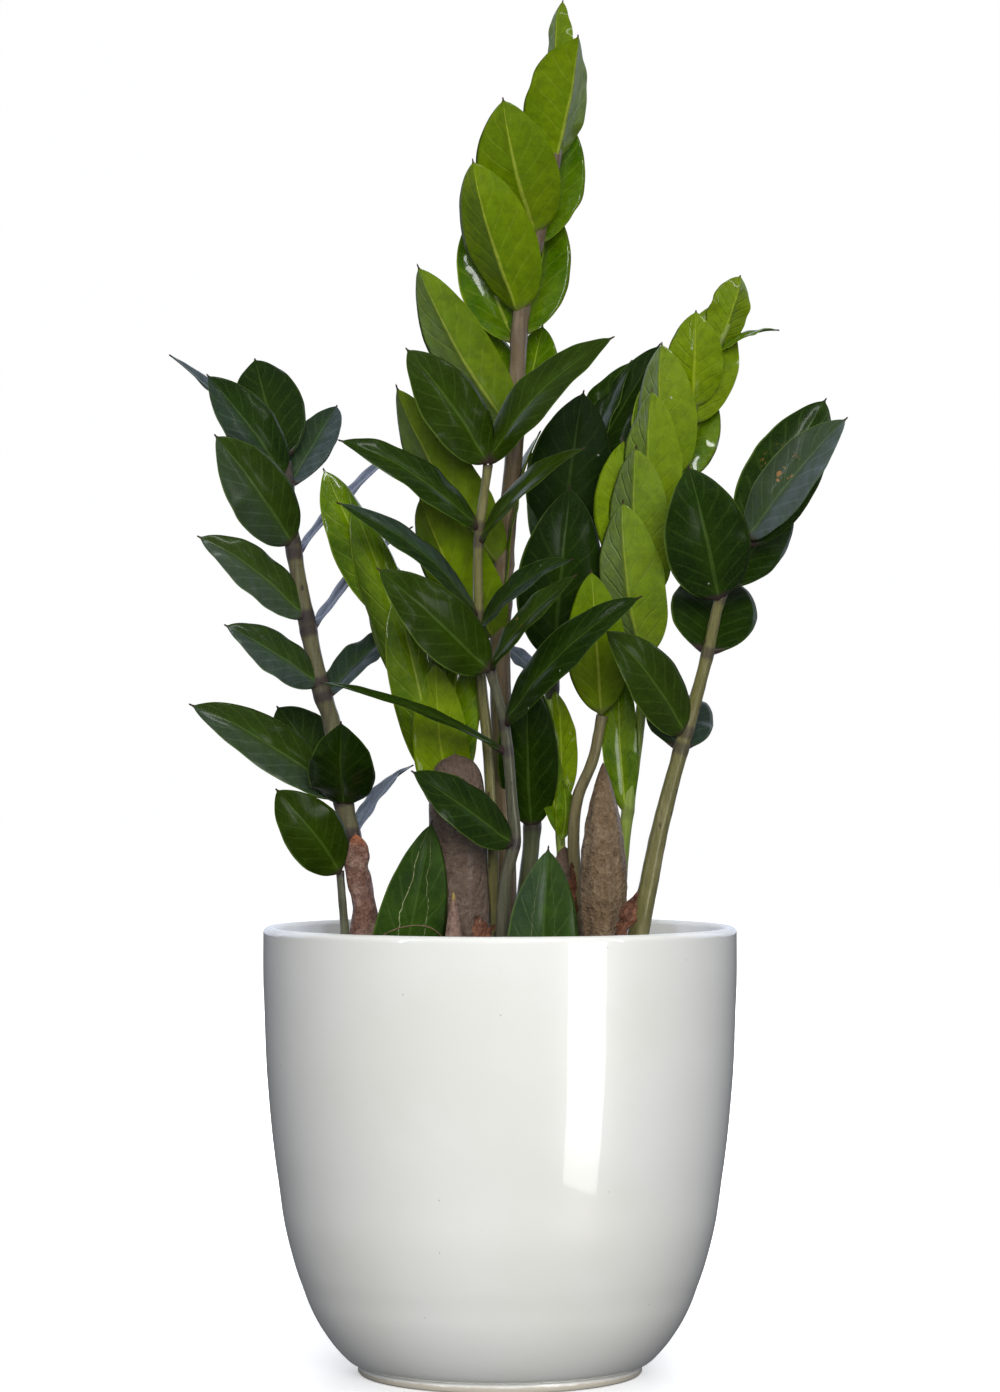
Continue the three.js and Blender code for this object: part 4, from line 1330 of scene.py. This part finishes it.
FRONDS = (
    Frond("left", Kind.LOAM, Kind.DARK,
          path=((-50, -12, 166), (-54, -12, 186), (-63, -11, 228), (-67, -10, 247), (-71, -10, 275),
                (-75, -10, 287), (-81, -10, 315), (-87, -10, 348), (-91, -8, 384)),
          girth=(4.6, 2.9),
          leaves=(
              Leaf("leaflet_left_2", (-122, -32, 419), 376, 25, 25, 12, 4, painted_sheen=-0.1),
              Leaf("leaflet_left_3", (-106, 30, 432), 384, 31, 0, 6, 3, tone_and_shade=-0.25),
              Leaf("leaflet_left_4", (-118, -42, 393), 349, 29, 15, 8, 5, painted_sheen=-0.1),
              Leaf("leaflet_left_5", (-70, 26, 412), 373, 19, -15, 12, 3, painted_sheen=0.25),
              Leaf("leaflet_left_6", (-125, -34, 352), 318, 22, 30, 10, 4, painted_sheen=-0.16),
              Leaf("leaflet_left_7", (-114, -34, 315), 290, 21, 32, 10, 4, painted_sheen=-0.18),
              Leaf("leaflet_left_10", (-43, 12, 315), 284, 22, -48, 22, 3, painted_sheen=0.3),
              Leaf("leaflet_left_12", (-128, -40, 282), 243, 24, 28, 10, 6, painted_sheen=-0.1),
              Leaf("leaflet_left_13", (-96, 32, 281), 242, 29, 0, 6, 3, scar=0.25),
              Leaf("leaflet_left_14", (-65, -58, 275), 240, 29, 0, 8, 5),
              Leaf("leaflet_left_15", (-37, 6, 257), 226, 13, -60, 18, 4, painted_sheen=0.95),
              Leaf("grown_left_1", (-142, 10, 431), 382, 17, 70, 20, 3, painted_sheen=0.4),
              Leaf("grown_left_2", (-41, 12, 392), 344, 17, -70, 15, 3, painted_sheen=1.0),
              Leaf("grown_left_3", (-38, 12, 359), 312, 17, -70, 15, 3, painted_sheen=1.0),
          )),
    Frond("sprout", Kind.PURPLE, Kind.DARK,
          path=((-64, -18, 166), (-65, -18, 187), (-67, -18, 212)),
          girth=(2.2, 1.6),
          leaves=(
              Leaf("grown_sprout_1", (-93, -46, 247), 211, 26, 10, 6, 4),
          )),
    Frond("tall", Kind.BROWN, Kind.YOUNG,
          path=((2, 5, 166), (2, 5, 186), (1, 5, 258), (0, 5, 301), (2, 5, 348), (6, 5, 390), (9, 6, 448),
                (16, 8, 482), (23, 8, 515), (25, 8, 544)),
          girth=(5.4, 2.6),
          leaves=(
              Leaf("leaflet_tall_1", (26, 12, 584), 544, 17, 148, 42, -2),
              Leaf("leaflet_tall_2", (32, -6, 566), 513, 44, -142, 38, -2),
              Leaf("leaflet_tall_3", (1, -16, 537), 482, 36, 172, 12, -6),
              Leaf("leaflet_tall_4", (-12, -16, 511), 448, 40, 150, 32, -6),
              Leaf("leaflet_tall_8", (-35, -18, 467), 398, 32, 158, 26, -7, painted_sheen=0.16),
              Leaf("leaflet_tall_11", (-44, -20, 416), 341, 35, 150, 30, -7, painted_sheen=0.16),
              Leaf("leaflet_tall_12", (-34, -16, 370), 309, 36, 152, 28, -6),
              Leaf("grown_tall_1", (29, 24, 535), 477, 28, -25, 10, -3),
              Leaf("grown_tall_2", (23, 26, 498), 438, 30, -20, 10, -4),
              Leaf("grown_tall_3", (-13, 24, 493), 435, 30, 20, 10, -4),
              Leaf("grown_tall_4", (-28, 26, 462), 410, 28, 20, 10, -3),
              Leaf("grown_tall_5", (18, 26, 447), 403, 24, -20, 10, -3),
              Leaf("grown_tall_6", (-30, 28, 388), 331, 26, 20, 10, -3),
              Leaf("grown_tall_7", (16, 6, 399), 325, 26, -75, 14, 4),
          )),
    Frond("front", Kind.OLIVE, Kind.DARK,
          path=((-3, -20, 166), (-3, -20, 187), (-3, -22, 221), (-5, -25, 262), (-8, -27, 294),
                (-9, -29, 320), (-9, -31, 348), (-5, -33, 381)),
          girth=(2.6, 1.9),
          leaves=(
              Leaf("leaflet_front_1", (-39, -52, 428), 381, 28, 18, 10, 6),
              Leaf("leaflet_front_2", (48, -52, 432), 381, 26, -42, 12, 8),
              Leaf("leaflet_front_3", (-66, -58, 390), 354, 21, 45, 12, 6),
              Leaf("leaflet_front_4", (35, -52, 387), 348, 18, -62, 15, 5),
              Leaf("leaflet_front_5", (-68, -58, 363), 317, 19, 58, 12, 9, painted_sheen=0.12),
              Leaf("leaflet_front_6", (29, -52, 342), 312, 18, -58, 20, 5, painted_sheen=0.1),
          )),
    Frond("small", Kind.PURPLE, Kind.DARK,
          path=((0, -38, 166), (1, -38, 187), (2, -38, 207), (6, -39, 226), (5, -40, 239), (2, -42, 271),
                (-4, -44, 295)),
          girth=(3, 2),
          leaves=(
              Leaf("leaflet_small_1", (-49, -78, 336), 295, 28, 14, 14, 5),
              Leaf("leaflet_small_2", (32, -72, 333), 295, 17, -60, 16, 5, scar=0.6),
              Leaf("leaflet_small_3", (57, -80, 325), 272, 24, -48, 14, 8),
              Leaf("leaflet_small_4", (-74, -72, 290), 261, 15, 72, 14, 4),
              Leaf("leaflet_small_5", (-37, -74, 254), 223, 22, 28, 10, 4),
          )),
    # The back stalk and several of its leaflets are darkened with painted shade.
    Frond("back", Kind.PAINTED_SHADE_OLIVE, Kind.DARK,
          path=((7, 14, 166), (9, 14, 185), (13, 14, 220), (15, 15, 245), (20, 15, 265), (23, 17, 299),
                (27, 22, 344), (34, 28, 379)),
          girth=(4.2, 2),
          leaves=(
              Leaf("leaflet_back_1", (36, 14, 417), 344, 38, 0, 6, 4, tone_and_shade=-0.5),
              Leaf("leaflet_back_2", (30, -6, 375), 300, 38, 4, 8, 6, tone_and_shade=-0.35),
              Leaf("leaflet_back_7", (11, -24, 297), 229, 27, 0, 12, 4, tone_and_shade=-0.1),
              Leaf("grown_back_1", (56, 30, 432), 375, 25, -50, 25, 3),
              Leaf("grown_back_2", (70, 28, 438), 370, 26, -30, 14, 3, tone_and_shade=-0.4),
              Leaf("grown_back_3", (13, 26, 392), 327, 22, 30, 10, 3, painted_sheen=0.3),
              Leaf("grown_back_4", (-1, 22, 310), 288, 15, 60, 12, 2, painted_sheen=0.7),
          )),
    Frond("right", Kind.OLIVE, Kind.DARK,
          path=((54, -20, 166), (58, -20, 187), (62, -20, 206), (66, -20, 226), (71, -20, 246),
                (76, -19, 264), (81, -19, 281), (87, -18, 303), (92, -18, 325), (104, -17, 352)),
          girth=(4.6, 1.8),
          leaves=(
              Leaf("leaflet_right_1", (78, -42, 380), 325, 37, 4, 8, 6),
              Leaf("leaflet_right_2", (93, 30, 340), 302, 38, 0, 10, 3),
              Leaf("leaflet_right_3", (44, -50, 312), 269, 26, 22, 12, 5),
              Leaf("leaflet_right_4", (78, 30, 288), 262, 30, 0, 10, 3, painted_sheen=0.12),
              Leaf("leaflet_right_5", (139, 8, 412), 347, 33, -8, 8, 4, scar=0.6),
              Leaf("leaflet_right_6", (144, -36, 401), 350, 28, -35, 20, 4, painted_sheen=0.36, scar=1.0),
              Leaf("grown_right_1", (124, 34, 372), 330, 25, -10, 8, 3),
              Leaf("grown_right_2", (92, 30, 376), 335, 18, 20, 8, 3),
          )),
    Frond("slim", Kind.REED, Kind.YOUNG,
          path=((34, -4, 166), (34, -4, 186), (31, -4, 226), (33, -5, 243), (39, -6, 258), (43, -8, 277)),
          girth=(2.8, 2.3),
          leaves=(
              Leaf("leaflet_slim_1", (38, -24, 338), 277, 26, 180, 8, -5),
          )),
    Frond("bright", Kind.TENDER, Kind.SHOOT,
          path=((49, 0, 166), (50, 0, 186), (52, 0, 220), (57, 0, 258), (60, 0, 282), (62, 0, 309),
                (66, 0, 343), (73, 0, 377), (82, 0, 407), (90, 0, 428), (97, 0, 443)),
          girth=(3, 1.3),
          leaves=(
              Leaf("grown_bright_1", (103, 4, 465), 434, 22, -150, 25, -2),
              Leaf("grown_bright_2", (93, 8, 454), 400, 30, 190, 10, -3),
              Leaf("grown_bright_3", (83, -4, 449), 407, 25, 175, 12, -4),
              Leaf("grown_bright_4", (119, 6, 442), 431, 11, -70, 15, 3),
              Leaf("grown_bright_5", (68, -7, 435), 377, 33, 150, 32, -5, tone_and_shade=0.12, painted_sheen=0.15),
              Leaf("grown_bright_6", (65, -10, 415), 352, 33, 152, 30, -6, tone_and_shade=0.12, painted_sheen=0.15),
              Leaf("grown_bright_7", (66, 10, 424), 377, 26, 10, 10, -3),
              Leaf("grown_bright_8", (92, 10, 413), 377, 24, -10, 10, -3),
              Leaf("grown_bright_9", (58, -14, 391), 326, 35, 150, 30, -7, painted_sheen=0.2),
              Leaf("grown_bright_10", (52, 2, 395), 332, 38, 185, 8, -2),
              Leaf("grown_bright_11", (52, -17, 368), 301, 35, 152, 26, -8, painted_sheen=0.2),
              Leaf("grown_bright_12", (50, -2, 303), 235, 16, 0, 8, 3),
          )),
    Frond("spear", Kind.TENDER, Kind.SHOOT,
          path=((-16, -22, 166), (-17, -22, 187), (-22, -20, 246), (-31, -18, 275), (-43, -17, 309),
                (-57, -16, 342), (-68, -16, 368)),
          girth=(4, 1.4),
          leaves=(
              Leaf("grown_spear_1", (-74, -20, 381), 318, 25, 15, 6, 4, tone_and_shade=0.1, cup=1.15),
              Leaf("grown_spear_2", (-62, -24, 366), 280, 27, 8, 5, 6, tone_and_shade=0.1, cup=1.15),
              Leaf("grown_spear_3", (-53, -12, 348), 284, 27, -14, 5, 3, cup=0.9),
              Leaf("grown_spear_4", (-44, -26, 329), 244, 27, 6, 6, 6, tone_and_shade=0.15, cup=1.1),
              Leaf("grown_spear_5", (-27, -28, 300), 232, 26, 176, 10, -4, tone_and_shade=0.1, cup=0.7),
              Leaf("grown_spear_6", (-15, -14, 322), 240, 24, -10, 12, 3),
          )),
    Frond("short", Kind.TENDER, Kind.SHOOT,
          path=((27, 7, 166), (27, 7, 186), (26, 8, 220), (23, 8, 258), (21, 8, 284)),
          girth=(2.4, 1.2),
          leaves=(
              Leaf("grown_short_1", (18, 5, 288), 243, 11, 0, 20, 2),
              Leaf("grown_short_2", (24, 11, 289), 236, 16, 195, 14, -3),
              Leaf("grown_short_3", (27, 4, 250), 224, 9, 0, 20, 2),
              Leaf("grown_short_4", (18, 5, 283), 226, 12, 0, 20, 2),
          )),
)


# ---------------------------------------------------------------- floor, lights and camera


@dataclass(frozen=True)
class FloorFinish(Surface):
    """Pale studio paper."""

    paper: Colour = srgb(247, 247, 247)

    def paint(self, bench: Bench) -> dict[str, Feed]:
        """Wire the paper's faint grain, and its glow, which grows away from the pot.

        Args:
            bench: The material's bench.

        Returns:
            The feeds of the shader's sockets.
        """
        grain = bench.mottle(bench.place(), 40, 2.0)
        away = bench.wire("ShaderNodeVectorMath", {"operation": "LENGTH"}, {0: bench.place()}, "Value")
        glow = bench.blend(bench.smooth(away, 0.15, 0.75), srgb(170, 170, 170), srgb(255, 255, 255))
        return {"Base Color": bench.blend(grain, self.paper, srgb(250, 250, 250)), "Roughness": 0.9,
                "Emission Color": glow, "Emission Strength": 1.0}


@dataclass(frozen=True)
class BackdropFinish(Surface):
    """A white backdrop that glows evenly."""

    def paint(self, bench: Bench) -> dict[str, Feed]:
        """Wire the faint cloud of the backdrop's glow.

        Args:
            bench: The material's bench.

        Returns:
            The feeds of the shader's sockets.
        """
        clouds = bench.mottle(bench.place(), 0.5, 1.0)
        return {"Base Color": (0.0, 0.0, 0.0, 1.0), "Emission Strength": 1.0,
                "Emission Color": bench.blend(clouds, srgb(255, 255, 255), srgb(254, 254, 255)),
                "Roughness": 1.0}


class Reach(Enum):
    """What a lamp's light shows in: colour, gloss or both."""

    COLOUR = (True, False)
    GLOSS = (False, True)
    BOTH = (True, True)


@dataclass(frozen=True)
class Lamp:
    """A soft panel light."""

    name: str
    place: Point
    target: Point
    size: tuple[float, float]
    power: float
    colour: Colour = (1.0, 1.0, 1.0)
    reach: Reach = Reach.BOTH
    spread: float = 180.0

    def build(self) -> None:
        """Hang the light."""
        data = bpy.data.lights.new(self.name, "AREA")
        data.shape = "RECTANGLE"
        data.size, data.size_y = self.size
        data.energy = self.power
        data.spread = math.radians(self.spread)
        data.color = self.colour
        made = bpy.data.objects.new(self.name, data)
        made.location = self.place
        made.rotation_euler = (Vector(self.target) - Vector(self.place)).to_track_quat("-Z", "Y").to_euler()
        made.visible_camera = False
        made.visible_diffuse, made.visible_glossy = self.reach.value
        bpy.context.scene.collection.objects.link(made)


@dataclass
class Studio:
    """The pale floor and backdrop, the soft lights and the camera."""

    distance: float = 1.638
    eye: float = 0.259
    aim: float = 0.2854
    lens: float = 100.0
    sensor: float = 36
    clipping: tuple[float, float] = (0.05, 30)
    floor_reach: float = 6
    backdrop_radius: float = 8
    backdrop_sides: int = 48
    backdrop_span: tuple[float, float] = (-6.0, 9.0)
    room_colour: tuple[float, float, float, float] = (0.92, 0.95, 1.0, 1)
    room_strength: float = 0.14
    lamps: Sequence[Lamp] = (
        Lamp("front panel", (0.25, -2.7, 1.0), (0.0, 0.0, 0.2), (1.5, 1.3), 70.0, reach=Reach.COLOUR),
        Lamp("left strip", (-1.3, -1.2, 0.95), (0.0, 0.0, 0.4), (0.05, 1.4), 3.2, reach=Reach.GLOSS),
        Lamp("right strip", (1.5, -0.9, 0.95), (0.0, 0.0, 0.4), (0.05, 1.4), 2.2, reach=Reach.GLOSS),
        Lamp("backdrop glow", (0.0, 2.0, 1.2), (0.0, 0.0, 1.2), (4.4, 2.1), 24.0, (0.78, 0.84, 1.0),
             Reach.GLOSS),
        Lamp("overhead panel", (0.0, -0.2, 2.1), (0.0, 0.0, 0.3), (1.6, 1.6), 12.0, reach=Reach.COLOUR),
        Lamp("upper strip", (0.75, -1.1, 1.75), (0.0, 0.0, 0.45), (0.9, 0.2), 9.0, reach=Reach.GLOSS),
        Lamp("back fill", (0.0, 2.5, 1.0), (0.0, 0.0, 0.3), (1.5, 1.3), 34.0, reach=Reach.COLOUR),
        Lamp("back left panel", (-1.6, 1.0, 1.0), (0.0, 0.0, 0.4), (1.0, 1.4), 5.0, (0.66, 0.74, 1.0)),
        Lamp("back right panel", (1.6, 1.0, 1.0), (0.0, 0.0, 0.4), (1.0, 1.4), 5.0, (0.66, 0.74, 1.0)),
        Lamp("window strip", (0.26, -0.34, 0.105), (0.035, -0.098, 0.105), (0.128, 0.3), 0.105,
             reach=Reach.GLOSS, spread=70.0),
    )

    def build(self) -> None:
        """Set up the stage, the lights and the camera."""
        scene = bpy.context.scene
        scene.view_settings.view_transform = "Standard"
        self.build_world(scene)
        far = self.floor_reach
        floor = self.build_sheet("floor", ((-far, -far, 0), (far, -far, 0), (far, far, 0), (-far, far, 0)))
        floor.data.materials.append(FloorFinish("studio paper", specular=0.2).material())
        floor.visible_diffuse = floor.visible_glossy = floor.visible_shadow = False
        self.build_backdrop()
        for lamp in self.lamps:
            lamp.build()
        camera = bpy.data.objects.new("camera", bpy.data.cameras.new("camera"))
        camera.data.lens = self.lens
        camera.data.sensor_width = self.sensor
        camera.data.clip_start, camera.data.clip_end = self.clipping
        camera.location = (0, -self.distance, self.eye)
        line = Vector((0, 0, self.aim)) - camera.location
        camera.rotation_euler = line.to_track_quat("-Z", "Y").to_euler()
        scene.collection.objects.link(camera)
        scene.camera = camera

    def build_world(self, scene: bpy.types.Scene) -> None:
        """Fill the room with soft, faintly blue light.

        Args:
            scene: The scene.
        """
        world = bpy.data.worlds.new("room")
        world.use_nodes = True
        room = world.node_tree.nodes["Background"].inputs
        room["Color"].default_value = self.room_colour
        room["Strength"].default_value = self.room_strength
        scene.world = world

    def build_backdrop(self) -> None:
        """Stand a round white backdrop behind everything, which lights nothing."""
        radius, sides = self.backdrop_radius, self.backdrop_sides
        angles = np.linspace(0, 2 * math.pi, sides, endpoint=False)
        ring = [(radius * math.cos(a), radius * math.sin(a)) for a in angles]
        points = [(x, y, z) for z in self.backdrop_span for x, y in ring]
        walls = [(i, (i + 1) % sides, (i + 1) % sides + sides, i + sides) for i in range(sides)]
        lids = [tuple(range(sides, 2 * sides)), tuple(range(sides - 1, -1, -1))]
        mesh = bpy.data.meshes.new("backdrop")
        mesh.from_pydata(points, [], walls + lids)
        made = bpy.data.objects.new("backdrop", mesh)
        bpy.context.scene.collection.objects.link(made)
        mesh.materials.append(BackdropFinish("white backdrop").material())
        made.visible_diffuse = made.visible_glossy = made.visible_shadow = False

    @staticmethod
    def build_sheet(name: str, corners: Sequence[Point]) -> bpy.types.Object:
        """Lay one flat sheet of the stage.

        Args:
            name: Its name.
            corners: Its four corners, in metres.

        Returns:
            The sheet.
        """
        mesh = bpy.data.meshes.new(name)
        mesh.from_pydata(corners, [], [tuple(range(len(corners)))])
        made = bpy.data.objects.new(name, mesh)
        bpy.context.scene.collection.objects.link(made)
        return made


def main() -> None:
    """Build the studio, then every sub-assembly from the pot upward."""
    logging.basicConfig(level=logging.INFO, format="%(message)s")
    Studio().build()
    blade, stalk, turned, crumbs = BladeFormer(), StalkFormer(), TurnedFormer(), CrumbFormer()
    Pot().build(turned)
    Soil().build(turned, crumbs)
    Sheaths().build(blade, turned)
    RootThread().build(stalk)
    for frond in FRONDS:
        frond.build_stalk(stalk)
        frond.build_leaves(blade)


if __name__ == "__main__":
    main()
